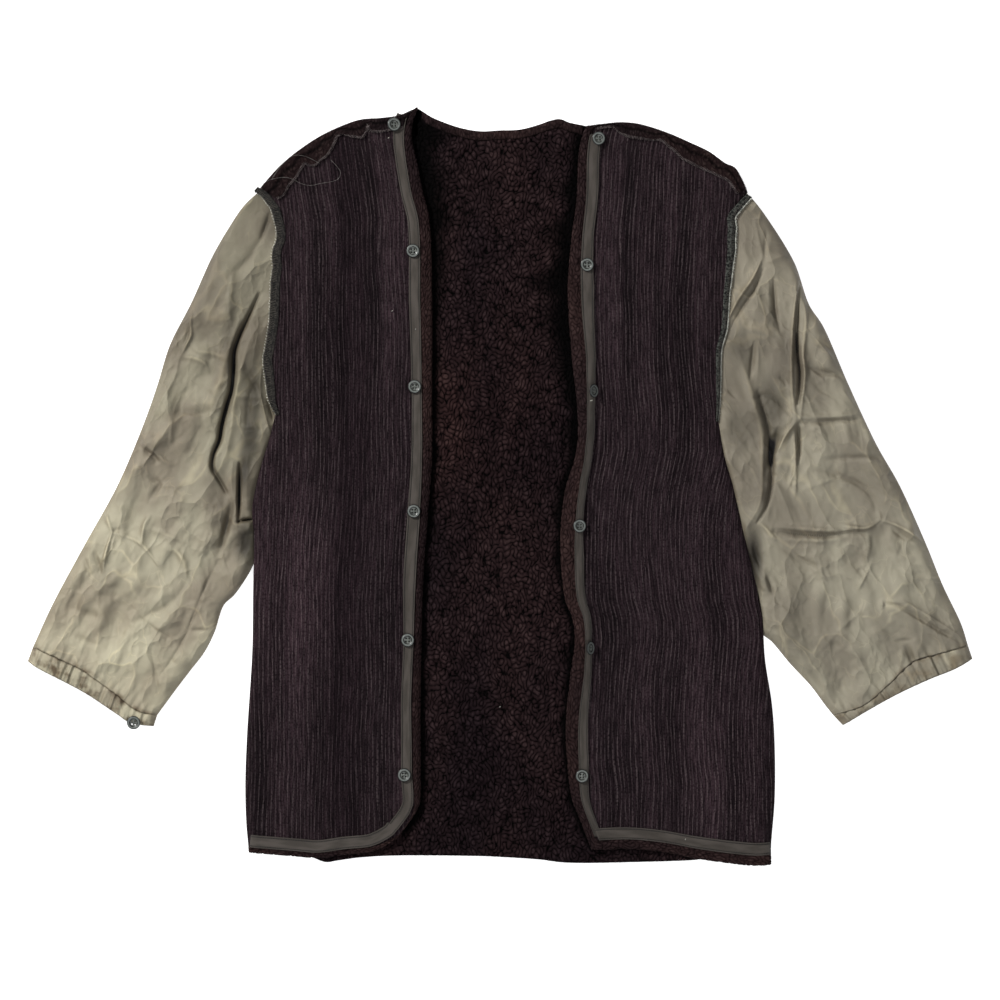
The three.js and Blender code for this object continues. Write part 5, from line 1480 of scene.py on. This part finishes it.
def wale_group():
    """Thin uneven lines along V, as the wales of a knit: 1 on a line."""
    tree, nodes, given = shader_group(
        "wale_lines", {"Vector": "Vector", "Spacing": "Float", "Wander": "Float"}, "Line", "Float"
    )
    split = nodes.add("ShaderNodeSeparateXYZ", {0: given["Vector"]})
    drift = nodes.noise(nodes.vector("MULTIPLY", given["Vector"], (70, 7, 0)), 1, 3)
    turns = nodes.math("DIVIDE", split.outputs["X"], given["Spacing"])
    turns = nodes.plus(turns, nodes.times(drift, given["Wander"]))
    wave = nodes.math("SINE", nodes.times(turns, 2 * math.pi))
    nodes.add("NodeGroupOutput", {"Line": nodes.between(wave, 0.35, 1.05)})
    return tree


def weave_group():
    """Height of a plain weave with threads across U and V."""
    tree, nodes, given = shader_group(
        "weave", {"Vector": "Vector", "Spacing": "Float"}, "Height", "Float"
    )
    split = nodes.add("ShaderNodeSeparateXYZ", {0: given["Vector"]})
    waves = []
    for axis in "XY":
        turns = nodes.math("DIVIDE", split.outputs[axis], given["Spacing"])
        waves.append(nodes.math("SINE", nodes.times(turns, 2 * math.pi)))
    nodes.add("NodeGroupOutput", {"Height": nodes.times(*waves)})
    return tree


def crumple_warp(nodes, given):
    """Coordinates that wander, so that the cells of the crumples have bent sides."""
    place = nodes.vector("MULTIPLY", given["Vector"], given["Stretch"])
    noise = nodes.add("ShaderNodeTexNoise", {"Vector": place, "Scale": 0.8, "Detail": 2.0})
    warp = nodes.vector("SUBTRACT", noise.outputs["Color"], (0.5, 0.5, 0.5))
    warp = nodes.vector("MULTIPLY", warp, (1.6, 1.6, 0))
    return nodes.vector("ADD", place, warp)


def crest_line_group():
    """1 on the crests between crumples, where a slow noise lets them show: the mask of painted highlight
    lines.
    """
    tree, nodes, given = shader_group(
        "crest_lines", {"Vector": "Vector", "Stretch": "Vector"}, "Line", "Float"
    )
    place = crumple_warp(nodes, given)
    cells = nodes.add(
        "ShaderNodeTexVoronoi", {"Vector": place, "Scale": 1.0}, feature="DISTANCE_TO_EDGE"
    )
    shown = nodes.between(nodes.noise(place, 0.9, 2), 0.48, 0.62)
    line = nodes.between(cells.outputs["Distance"], 0.05, 0.0)
    nodes.add("NodeGroupOutput", {"Line": nodes.times(line, shown)})
    return tree


def crumple_group():
    """Height of crumpled cloth: smooth hollows that meet in crisp crests."""
    tree, nodes, given = shader_group(
        "crumples", {"Vector": "Vector", "Stretch": "Vector"}, "Height", "Float"
    )
    cells = nodes.add("ShaderNodeTexVoronoi", {"Vector": crumple_warp(nodes, given), "Scale": 1.0})
    nodes.add("NodeGroupOutput", {"Height": nodes.math("POWER", cells.outputs["Distance"], 2.0)})
    return tree


TWO_TONES, WALES, WEAVE = two_tone_group(), wale_group(), weave_group()
CRUMPLES, CREST_LINES = crumple_group(), crest_line_group()


SURFACE_WORDS = {
    "roughness": "Roughness", "specular": "Specular IOR Level", "sheen": "Sheen Weight",
    "sheen_roughness": "Sheen Roughness", "coat": "Coat Weight",
}


def new_material(name, **surface):
    material = bpy.data.materials.new(name)
    material.use_nodes = True
    material.node_tree.nodes.clear()
    nodes = Nodes(material.node_tree)
    given = {SURFACE_WORDS[word]: value for word, value in surface.items()}
    principled = nodes.add("ShaderNodeBsdfPrincipled", given)
    nodes.add("ShaderNodeOutputMaterial", {"Surface": principled.outputs[0]})
    return material, nodes, principled


def bump(nodes, surface, height, distance, strength=1.0):
    made = nodes.add("ShaderNodeBump", {"Strength": strength, "Distance": distance, "Height": height})
    nodes.link(made.outputs[0], surface.inputs["Normal"])


def tones(nodes, place, stretch, low, high, start=0.35, end=0.65):
    """Patches of two colours, given as screen colours or as factors with a fourth value."""
    low, high = (shade if len(shade) == 4 else colour(*shade) for shade in (low, high))
    return nodes.group(
        TWO_TONES, Vector=place, Stretch=stretch, Low=low, High=high, From=start, To=end
    )


WARM_PATCH = (-0.035, 0.07, 0.005)


def pile_material(name, gap, body, tip, warm=False, gap_shade_strength=1):
    """Curly pile: painted shade in the gaps where "curl" changes sign, painted highlights on the crests,
    darker where "open" is low.
    """
    material, nodes, surface = new_material(name, roughness=0.9, specular=0.06)
    place = nodes.object_place()
    curl = nodes.mark("curl")
    lit = nodes.mark("open")
    fibre = nodes.noise(place, 1300, 3)
    clump = nodes.noise(place, 160, 2)
    level = nodes.math("ABSOLUTE", curl)
    level = nodes.plus(level, nodes.times(nodes.math("SUBTRACT", fibre, 0.5), 0.55))
    broken = nodes.plus(nodes.times(nodes.between(clump, 0.6, 0.4), 0.75), 0.42)
    # Painted shade: "thin" is 1 in the gaps between curls, which turn to the dark gap colour.
    thin = nodes.times(nodes.between(level, 0.5, 0.08), nodes.times(broken, gap_shade_strength))
    # Painted highlight: the crests turn to the paler tip colour.
    crest = nodes.times(nodes.between(level, 0.7, 2.4), nodes.between(fibre, 0.35, 0.6))
    shade = nodes.blend(crest, colour(*body), colour(*tip))
    patches = tones(nodes, place, (9, 4, 9), (0.62, 0.63, 0.7, 1), (1.18, 1.13, 1.07, 1))
    shade = nodes.tinted(shade, patches)
    if warm:
        away = nodes.measure("DISTANCE", place, WARM_PATCH)
        wide = nodes.between(away, 0.16, 0.02)
        shade = nodes.tinted(shade, nodes.blend(wide, (1, 1, 1, 1), (1.25, 1.14, 1.05, 1)))
    shade = nodes.blend(thin, shade, colour(*gap))
    # Darker where "open" is low: painted shade beside and under the fronts and in the shoulder
    # allowances.
    dark = nodes.blend(lit, (0.04, 0.035, 0.04, 1), (1, 1, 1, 1))
    shade = nodes.tinted(shade, dark)
    nodes.link(shade, surface.inputs["Base Color"])
    height = nodes.math("SUBTRACT", nodes.times(fibre, 0.5), thin)
    bump(nodes, surface, height, 0.0016, 1.0)
    return material


def knit_material(name, band, worn):
    """Plum to charcoal knit: broad and fine pale wales, a darker band and a paler patch."""
    material, nodes, surface = new_material(name, roughness=0.85, specular=0.06)
    flat = nodes.cloth_place()
    ground = tones(nodes, flat, (30, 2.2, 1), (19, 13, 16), (43, 33, 37), 0.3, 0.7)
    broad = nodes.group(WALES, Vector=flat, Spacing=WALE * MM, Wander=2.2)
    fine = nodes.group(WALES, Vector=flat, Spacing=0.0021, Wander=3.0)
    gaps = nodes.stretched_noise(flat, (230, 34, 1))
    streak = nodes.stretched_noise(flat, (420, 48, 1))
    stitch = nodes.stretched_noise(flat, (560, 400, 1))
    grain = nodes.blend(nodes.between(stitch, 0.34, 0.66), (0.62, 0.6, 0.62, 1), (1.3, 1.28, 1.28, 1))
    ground = nodes.tinted(ground, grain)
    streak = nodes.between(streak, 0.34, 0.66)
    grain = nodes.blend(streak, (0.55, 0.52, 0.55, 1), (1.5, 1.48, 1.48, 1))
    ground = nodes.tinted(ground, grain)
    dash = nodes.between(stitch, 0.3, 0.58)
    line = nodes.times(nodes.times(broad, nodes.between(gaps, 0.3, 0.6)), dash)
    soft = nodes.times(nodes.times(fine, nodes.between(gaps, 0.66, 0.4)), dash)
    shade = nodes.blend(nodes.times(soft, 0.45), ground, colour(58, 49, 52))
    shade = nodes.blend(nodes.times(line, 0.7), shade, colour(82, 72, 74))
    side = nodes.add("ShaderNodeSeparateXYZ", {0: flat}).outputs["X"]
    beside = nodes.apart(side, band)
    darker = nodes.tinted(shade, (0.6, 0.57, 0.6, 1))
    shade = nodes.blend(nodes.between(beside, 0.035, 0.004), shade, darker)
    from_spot = nodes.vector("MULTIPLY", nodes.vector("SUBTRACT", flat, (*worn, 0)), (20, 7, 0))
    spread = nodes.measure("LENGTH", from_spot)
    paler = nodes.tinted(shade, (1.4, 1.38, 1.38, 1))
    shade = nodes.blend(nodes.between(spread, 1.3, 0.2), shade, paler)
    nodes.link(shade, surface.inputs["Base Color"])
    height = nodes.plus(nodes.plus(broad, fine), nodes.times(stitch, 0.8))
    bump(nodes, surface, height, 0.0006, 0.6)
    return material


def satin_material(name, low, high, stain, upper, lower=(1, 1, 1, 1)):
    """Satin with a soft sheen and painted light: shade by the shoulder, in the troughs, on turned slopes
    and in the armpit hollows, light towards the cuff and on the crests; finely crumpled between its
    creases.
    """
    material, nodes, surface = new_material(
        name, roughness=0.52, specular=0.32, sheen=0.08, sheen_roughness=0.4
    )
    flat = nodes.cloth_place()
    seam = nodes.mark("seam")
    shade = tones(nodes, flat, (17, 11, 1), low, high)
    # Painted shade by the shoulder (upper) and painted light towards the cuff (lower).
    shade = nodes.blend(nodes.between(seam, 0.75, 0.12), shade, nodes.tinted(shade, upper))
    shade = nodes.blend(nodes.between(seam, 0.6, 0.95), shade, nodes.tinted(shade, lower))
    stained = nodes.between(nodes.stretched_noise(flat, (60, 60, 1)), 0.42, 0.66)
    stained = nodes.times(nodes.between(seam, 0.985, 1.0), stained)
    shade = nodes.blend(stained, shade, colour(*stain))
    fold = nodes.mark("fold")
    # Painted shade in the creases' troughs, near black in the deepest slits.
    hollow = nodes.tinted(shade, (0.55, 0.53, 0.5, 1))
    shade = nodes.blend(nodes.between(fold, -0.5, -5.0), shade, hollow)
    shade = nodes.blend(nodes.between(fold, -4.4, -7.5), shade, (0.006, 0.005, 0.005, 1))
    # Painted highlight on the crumples' crests and on the tall creases.
    lit = nodes.tinted(shade, (1.3, 1.28, 1.22, 1))
    crests = nodes.group(CREST_LINES, Vector=flat, Stretch=(26, 15, 1))
    fine_crests = nodes.group(CREST_LINES, Vector=flat, Stretch=(70, 44, 1))
    crests = nodes.plus(nodes.times(crests, 0.9), nodes.times(fine_crests, 0.5))
    crests = nodes.plus(crests, nodes.between(fold, 1.4, 4.2))
    shade = nodes.blend(nodes.math("MINIMUM", crests, 1), shade, lit)
    # Painted shade in the hollows by the armpits.
    dim = nodes.tinted(shade, (0.06, 0.05, 0.04, 1))
    shade = nodes.blend(nodes.mark("shaded"), shade, dim)
    # Painted shade on slopes that face away from the camera.
    slope = nodes.add("ShaderNodeLayerWeight", {"Blend": 0.5}).outputs["Facing"]
    turned = nodes.tinted(shade, (0.7, 0.68, 0.66, 1))
    shade = nodes.blend(nodes.between(slope, 0.02, 0.35), shade, turned)
    nodes.link(shade, surface.inputs["Base Color"])
    large = nodes.group(CRUMPLES, Vector=flat, Stretch=(26, 15, 1))
    small = nodes.group(CRUMPLES, Vector=flat, Stretch=(70, 44, 1))
    calm = nodes.between(nodes.noise(flat, 14, 2), 0.35, 0.65)
    fine = nodes.group(WEAVE, Vector=flat, Spacing=0.0006)
    height = nodes.plus(large, nodes.times(nodes.times(small, 0.4), calm))
    height = nodes.plus(height, nodes.times(fine, 0.005))
    bump(nodes, surface, height, 0.0085, 1.0)
    return material


def tape_material():
    material, nodes, surface = new_material("olive_twill", roughness=0.75, sheen=0.08, specular=0.3)
    flat = nodes.cloth_place()
    across = nodes.mark("across")
    split = nodes.add("ShaderNodeSeparateXYZ", {0: flat})
    slant = nodes.plus(split.outputs["X"], split.outputs["Y"])
    twill = nodes.math("SINE", nodes.times(slant, 2 * math.pi / 0.0014))
    shade = tones(nodes, flat, (120, 26, 1), (58, 53, 48), (80, 74, 69))
    shade = nodes.blend(nodes.times(nodes.between(twill, -0.6, 1), 0.3), shade, colour(94, 88, 81))
    middle = nodes.apart(across, 0.5)
    # Painted shade in the grooves along the tape's two rows of stitches.
    sewn = nodes.between(nodes.apart(middle, 0.37), 0.06, 0.02)
    shade = nodes.blend(nodes.times(sewn, 0.75), shade, colour(22, 20, 19))
    shade = nodes.blend(nodes.between(middle, 0.44, 0.5), shade, colour(58, 53, 48))
    nodes.link(shade, surface.inputs["Base Color"])
    bump(nodes, surface, twill, 0.0002, 0.6)
    return material


def edge_material(name, low, high):
    """Frayed cut edge of knit and pile below an overlock seam."""
    material, nodes, surface = new_material(name, roughness=0.85, specular=0.25)
    place = nodes.object_place()
    shade = tones(nodes, place, (420, 420, 420), low, high, 0.4, 0.62)
    nodes.link(shade, surface.inputs["Base Color"])
    bump(nodes, surface, nodes.noise(place, 700, 3), 0.0008, 0.8)
    return material


def thread_material(name, low, high, roughness=0.5):
    material, nodes, surface = new_material(name, roughness=roughness)
    place = nodes.object_place()
    shade = tones(nodes, place, (300, 300, 300), low, high, 0.4, 0.6)
    nodes.link(shade, surface.inputs["Base Color"])
    return material


def button_material():
    """Grey-green moulded plastic with cloudy streaks, a painted highlight on the raised rim, painted
    shade in the groove round the dish and on the outer edge.
    """
    material, nodes, surface = new_material("button_plastic", roughness=0.38, specular=0.4, coat=0.15)
    place = nodes.object_place()
    radius = nodes.mark("radius")
    shade = tones(nodes, place, (260, 500, 260), (72, 76, 73), (112, 116, 111))
    # Painted highlight on the raised rim.
    shade = nodes.blend(nodes.between(radius, 0.66, 0.74), shade, colour(106, 111, 108))
    # Painted shade in the groove round the dish.
    groove = nodes.between(nodes.apart(radius, 0.57), 0.1, 0.02)
    shade = nodes.blend(groove, shade, colour(12, 13, 13))
    # Painted shade on the button's outer edge.
    shade = nodes.blend(nodes.between(radius, 0.84, 0.93), shade, colour(20, 21, 20))
    nodes.link(shade, surface.inputs["Base Color"])
    return material


# --------------------------------------------------------------------------------------------------
# Buttons, loose threads, lint and the floor

# The button from its middle outwards and down: radius as a share of its own, height in millimetres.
BUTTON_PROFILE = [
    (0, 1.75), (0.2, 1.72), (0.42, 1.72), (0.5, 1.8), (0.58, 2.2), (0.66, 2.62), (0.76, 2.8),
    (0.86, 2.72), (0.95, 2.4), (0.995, 1.85), (1, 1.45), (0.985, 1.05), (0.92, 0.75), (0.6, 0.0),
    (0, 0.0),
]
HOLE_RADIUS = 1.05
HOLE_OFFSET = 1.75
BUTTON_STEPS = 48


def button_template():
    """A four-hole button's mesh, in millimetres about its own middle."""
    turn = np.linspace(0, 2 * math.pi, BUTTON_STEPS, endpoint=False)
    middle, rings, last = BUTTON_PROFILE[0], BUTTON_PROFILE[1:-1], BUTTON_PROFILE[-1]
    points = [(0, 0, middle[1])]
    for share, height in rings:
        radius = share * BUTTON_RADIUS
        points += [(radius * math.cos(a), radius * math.sin(a), height) for a in turn]
    points.append((0, 0, last[1]))
    faces = []
    for j in range(BUTTON_STEPS):
        k = (j + 1) % BUTTON_STEPS
        faces.append((0, 1 + j, 1 + k))
        for ring in range(len(rings) - 1):
            a, b = 1 + ring * BUTTON_STEPS, 1 + (ring + 1) * BUTTON_STEPS
            faces.append((a + j, b + j, b + k, a + k))
        b = 1 + (len(rings) - 1) * BUTTON_STEPS
        faces.append((len(points) - 1, b + k, b + j))
    mesh = bpy.data.meshes.new("button_blank")
    points = [(x * MM, y * MM, (z - BUTTON_HEIGHT / 2) * MM) for x, y, z in points]
    mesh.from_pydata(points, [], faces)
    mesh.polygons.foreach_set("use_smooth", [True] * len(faces))
    blank = add_object("button_blank", mesh)
    cutters = []
    for x, y in ((-1, -1), (-1, 1), (1, 1), (1, -1)):
        route = [(x * HOLE_OFFSET, y * HOLE_OFFSET, z) for z in (-4, 4)]
        cutters.append(round_bar(route, HOLE_RADIUS))
    cutter = make_piece("button_holes", cutters, [])
    cutter.data.transform(Matrix.Translation((0, LENGTH / 2 * MM, 0)))
    cut = blank.modifiers.new("holes", "BOOLEAN")
    cut.operation, cut.solver, cut.object = "DIFFERENCE", "EXACT", cutter
    holed = evaluated_mesh(blank)
    bpy.data.objects.remove(blank)
    bpy.data.objects.remove(cutter)
    return holed


def round_bar(route, radius, sides=16):
    turn = np.linspace(0, 2 * math.pi, sides, endpoint=False)
    ring = np.stack([np.cos(turn), np.sin(turn), 0 * turn], -1) * radius
    points = np.vstack([ring + route[0], ring + route[1]])
    faces = [(j, (j + 1) % sides, sides + (j + 1) % sides, sides + j) for j in range(sides)]
    faces += [tuple(range(sides))[::-1], tuple(range(sides, 2 * sides))]
    return SimpleNamespace(points=points, faces=faces, round_faces=sides, marks={}, flat_map=None)


def make_button(node, template, thread_mesh, plastic):
    low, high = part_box(node)
    place = Matrix.Translation((low + high) / 2)
    place = place @ Matrix.Rotation(math.radians(BUTTON_TILT.get(node, 0)), 4, "Y")
    mesh = template.copy()
    mesh.name = node + "_holed"
    mesh.materials.clear()
    mesh.materials.append(plastic)
    across = [math.hypot(v.co.x, v.co.y) / (BUTTON_RADIUS * MM) for v in mesh.vertices]
    mesh.attributes.new("radius", "FLOAT", "POINT").data.foreach_set("value", across)
    mesh.transform(place)
    sewn = thread_mesh.copy()
    sewn.name = node + "_thread"
    sewn.transform(place)
    return add_object(node + "_holed", mesh), add_object(node + "_thread", sewn)


def thread_cross():
    """Two bars of thread through a button's four holes, about the button's middle."""
    parts = []
    for y in (-1, 1):
        for lift in (0, 0.22):
            z = 0.35 + lift - BUTTON_HEIGHT / 2 + 1.0
            x = HOLE_OFFSET
            route = [
                (-x, 0, z - 2.4), (-x, 0, z - 0.5), (-x * 0.6, 0, z),
                (x * 0.6, 0, z), (x, 0, z - 0.5), (x, 0, z - 2.4),
            ]
            parts.append(tube(np.array(route) + (0, y * HOLE_OFFSET, 0), 0.12))
    return parts


LOOSE_THREADS = [
    [(-278, 779), (-264, 787), (-247, 790), (-238, 788), (-228, 783), (-218, 781), (-207, 783),
     (-186, 788), (-183, 795), (-185, 800), (-194, 810)],
    [(-262, 788), (-250, 805), (-238, 815), (-227, 815), (-216, 811), (-207, 806)],
]
# Short pale ends of thread and lint: where they lie, height, length, direction in degrees.
LINT = [
    (-124, 637, 12.6, 1.6, 20), (-97, 616, 13.2, 1.4, 70), (0, 182, 8.4, 1.6, 40),
    (94, 186, 13.4, 1.8, 5), (213, 30, 12.2, 1.6, 60), (-121, 857, 13.5, 9, 95),
    (-128, 836, 12.4, 1.8, 30), (105, 534, 17.5, 3, 10),
]


def make_loose_threads(material):
    parts = []
    for i, route in enumerate(LOOSE_THREADS):
        points = Line(route).at(np.linspace(0, 1, 60))
        wave = 1.6 * np.sin(np.linspace(0, 9, 60) + i) + FRONT_TOP + 5.2
        parts.append(tube(with_height(points, wave), 0.19))
    return make_piece("loose_threads", parts, [material], smooth_all=True)


def make_lint(material):
    parts = []
    for x, up, high, long, turn in LINT:
        run = np.linspace(-0.5, 0.5, 6)
        turn = math.radians(turn) + 0.8 * run**2
        reach = run * long
        route = np.stack([x + reach * np.cos(turn), up + reach * np.sin(turn), high - run**2], -1)
        parts.append(tube(route, 0.3))
    return make_piece("lint_and_thread_ends", parts, [material], smooth_all=True)


FLOOR_CLEAR = 0.0004  # metres
FLOOR_HALF = 6


def make_floor():
    mesh = bpy.data.meshes.new("floor")
    corners = [(x * FLOOR_HALF, y * FLOOR_HALF, 0) for x, y in ((-1, -1), (1, -1), (1, 1), (-1, 1))]
    mesh.from_pydata(corners, [], [(0, 1, 2, 3)])
    material, _, surface = new_material("pale_floor", roughness=0.9)
    surface.inputs["Base Color"].default_value = (0.86, 0.86, 0.86, 1)
    surface.inputs["Emission Color"].default_value = (1, 1, 1, 1)
    surface.inputs["Emission Strength"].default_value = 0.8
    mesh.materials.append(material)
    floor = add_object("floor", mesh)
    floor.location.z = -FLOOR_CLEAR


def area_light(name, place, size, power, tint=(1, 1, 1)):
    data = bpy.data.lights.new(name, "AREA")
    data.shape, data.size, data.energy, data.color = "DISK", size, power, tint
    light = add_object(name, data)
    light.location = place
    light.rotation_euler = Vector(place).to_track_quat("Z", "Y").to_euler()


def set_up_light():
    area_light("key", (-2.5, 2.0, 2.3), 0.7, 150, (1, 0.985, 0.96))
    area_light("fill", (0.9, -1.8, 3.2), 2.6, 42, (0.97, 0.98, 1))
    world = bpy.data.worlds.new("studio")
    world.use_nodes = True
    background = world.node_tree.nodes["Background"].inputs
    background["Color"].default_value = (0.97, 0.98, 1, 1)
    background["Strength"].default_value = 0.22
    bpy.context.scene.world = world
    bpy.context.scene.view_settings.view_transform = "Standard"


# --------------------------------------------------------------------------------------------------
# The whole liner


def finish_piece(piece, slot, *nodes):
    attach(piece, "root")
    if nodes:
        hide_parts(*nodes)


def make_threads():
    shades = {
        "dark_thread": ((26, 23, 22), (44, 40, 37)),
        "cream_thread": ((150, 152, 143), (222, 222, 210)),
        "grey_thread": ((34, 32, 30), (80, 76, 69)),
        "mauve_thread": ((62, 52, 53), (118, 107, 106)),
    }
    made = {name: thread_material(name, *shade) for name, shade in shades.items()}
    made["loose_thread"] = thread_material("loose_thread", (70, 66, 64), (120, 116, 112), 0.35)
    return made


def side_materials(side):
    """Materials of the cloths that differ from side to side."""
    if side == "left":
        return {
            "seam_pile": pile_material(
                "seam_pile_left", (12, 7, 8), (30, 21, 22), (54, 44, 44), gap_shade_strength=0.35
            ),
            "knit": knit_material("knit_left", 0.118, (0.178, 0.305)),
            "satin": satin_material(
                "satin_left", (144, 135, 117), (171, 165, 143), (104, 90, 70),
                # upper is painted shade by the shoulder, lower painted light towards the cuff.
                upper=(0.56, 0.55, 0.54, 1), lower=(1.18, 1.18, 1.16, 1),
            ),
            "band": edge_material("bound_edge_left", (14, 13, 12), (46, 43, 40)),
        }
    return {
        "seam_pile": pile_material(
            "seam_pile_right", (12, 7, 8), (34, 24, 25), (62, 52, 50), gap_shade_strength=0.35
        ),
        "knit": knit_material("knit_right", 0.4, (0.2, 0.12)),
        "satin": satin_material(
            "satin_right", (136, 129, 113), (161, 155, 136), (128, 118, 99),
            # upper is painted shade by the shoulder.
            upper=(0.76, 0.74, 0.74, 1),
        ),
        "band": edge_material("bound_edge_right", (20, 21, 20), (80, 82, 77)),
    }


def build():
    # Each pile's gap colour is painted shade between the curls, and its tip colour is a painted
    # highlight on their crests.
    pile = pile_material("brown_pile", (2, 1, 1), (35, 24, 26), (64, 50, 51), warm=True)
    edge_pile = pile_material("turned_pile", (8, 4, 5), (43, 31, 31), (64, 50, 49), gap_shade_strength=0.55)
    cloth = {side: side_materials(side) for side in FRONTS}
    twill = tape_material()
    thread = make_threads()

    finish_piece(make_back([pile]), "pile", "back_panel")
    finish_piece(make_neck_turning([edge_pile]), "pile", "neck_turning")
    for side, front in FRONTS.items():
        own = cloth[side]
        made = [
            (make_knit(front, [own["knit"]]), "knit_backing", "front_panel"),
            (make_turned_edges(front, [edge_pile]), "pile", "front_panel"),
            (make_tape(front, [twill]), "tape", "tape"),
            (make_allowance(front, [own["seam_pile"]]), "pile", "shoulder_seam"),
            (make_band(front, [own["band"]]), "overlock", "armhole_seam"),
        ]
        for piece, slot, node in made:
            finish_piece(piece, slot, f"{node}_{side}")
        sew_front(front, {
            "tape_topstitch": thread["dark_thread"], "armhole_overlock": thread["grey_thread"],
            "armhole_chain": thread["grey_thread" if side == "left" else "cream_thread"],
            "armhole_specks": thread["cream_thread"], "shoulder_overlock": thread["mauve_thread"],
            "shoulder_seam": thread["mauve_thread"],
        })
        sleeve = Sleeve(side)
        for make, node in (
            (make_sleeve_top, "sleeve_top"), (make_sleeve_under, "sleeve_under"),
            (make_casing, "cuff"),
        ):
            finish_piece(make(sleeve, [own["satin"]]), "sleeve_satin", f"{node}_{side}")

    blank = button_template()
    cross = make_piece("button_thread", thread_cross(), [thread["dark_thread"]], smooth_all=True)
    cross_mesh = cross.data
    cross_mesh.transform(Matrix.Translation((0, LENGTH / 2 * MM, 0)))
    bpy.data.objects.remove(cross)
    plastic = button_material()
    nodes = [f"button_{side}_{i}" for side in SIGN for i in range(1, 7)] + ["cuff_button_left"]
    for node in nodes:
        button, sewn = make_button(node, blank, cross_mesh, plastic)
        finish_piece(button, "button", node)
        finish_piece(sewn, "overlock")
    finish_piece(make_loose_threads(thread["loose_thread"]), "overlock")
    finish_piece(make_lint(thread["cream_thread"]), "overlock")


# Rows of stitches of each front: seed, spacing, length, half thickness, arch, turn in degrees and
# unevenness. The bound edge's length and the chain's thickness differ from side to side.
STITCHES = {
    "left": {
        "tape_topstitch": (1, 2.9, 2.2, 0.22, 0.5, 0, 0.05),
        "armhole_overlock": (4, 1.9, 7.6, 0.3, 1.1, 78, 0.22),
        "armhole_chain": (5, 1.9, 2.2, 0.36, 0.5, 0, 0.3),
        "armhole_specks": (8, 3.4, 2.3, 0.36, 0.4, 30, 0.9),
        "shoulder_overlock": (6, 1.5, 3.2, 0.26, 0.8, 82, 0.25),
        "shoulder_seam": (7, 1.9, 2.6, 0.26, 0.7, 70, 0.3),
    },
}
STITCHES["right"] = STITCHES["left"] | {
    "armhole_overlock": (4, 1.9, 5, 0.3, 1.1, 78, 0.22),
    "armhole_chain": (5, 1.9, 2.2, 0.62, 0.5, 0, 0.3),
}


def stitch_routes(front):
    """The lines that each row of stitches follows, on top of the cloth."""
    def on_band(across, lift):
        t = np.linspace(0.01, 0.99, 200)
        return [band_points(front, t, np.full(t.shape, across)) + (0, 0, lift)]

    def on_shoulder(down, lift):
        t = np.linspace(0.004, 0.996, 300)
        return [allowance_points(front, t, np.full(t.shape, down)) + (0, 0, lift)]

    tape = TAPE_FORM[front.side](front, TAPE_ROWS)
    return {
        "tape_topstitch": [grid[:, i] + (0, 0, 0.12) for grid in tape for i in range(2)],
        "armhole_overlock": on_band(0.62, 0.25), "armhole_chain": on_band(0.99, 0.35),
        "armhole_specks": on_band(1.1, 0.7), "shoulder_overlock": on_shoulder(0.93, 2.6),
        "shoulder_seam": on_shoulder(0.04, 1.6),
    }


def sew_front(front, threads):
    for name, route in stitch_routes(front).items():
        place, kind = name.split("_")
        sewn = sew(f"{place}_{front.side}_{kind}", route, threads[name], *STITCHES[front.side][name])
        finish_piece(sewn, "overlock")


build()
make_floor()
set_up_light()
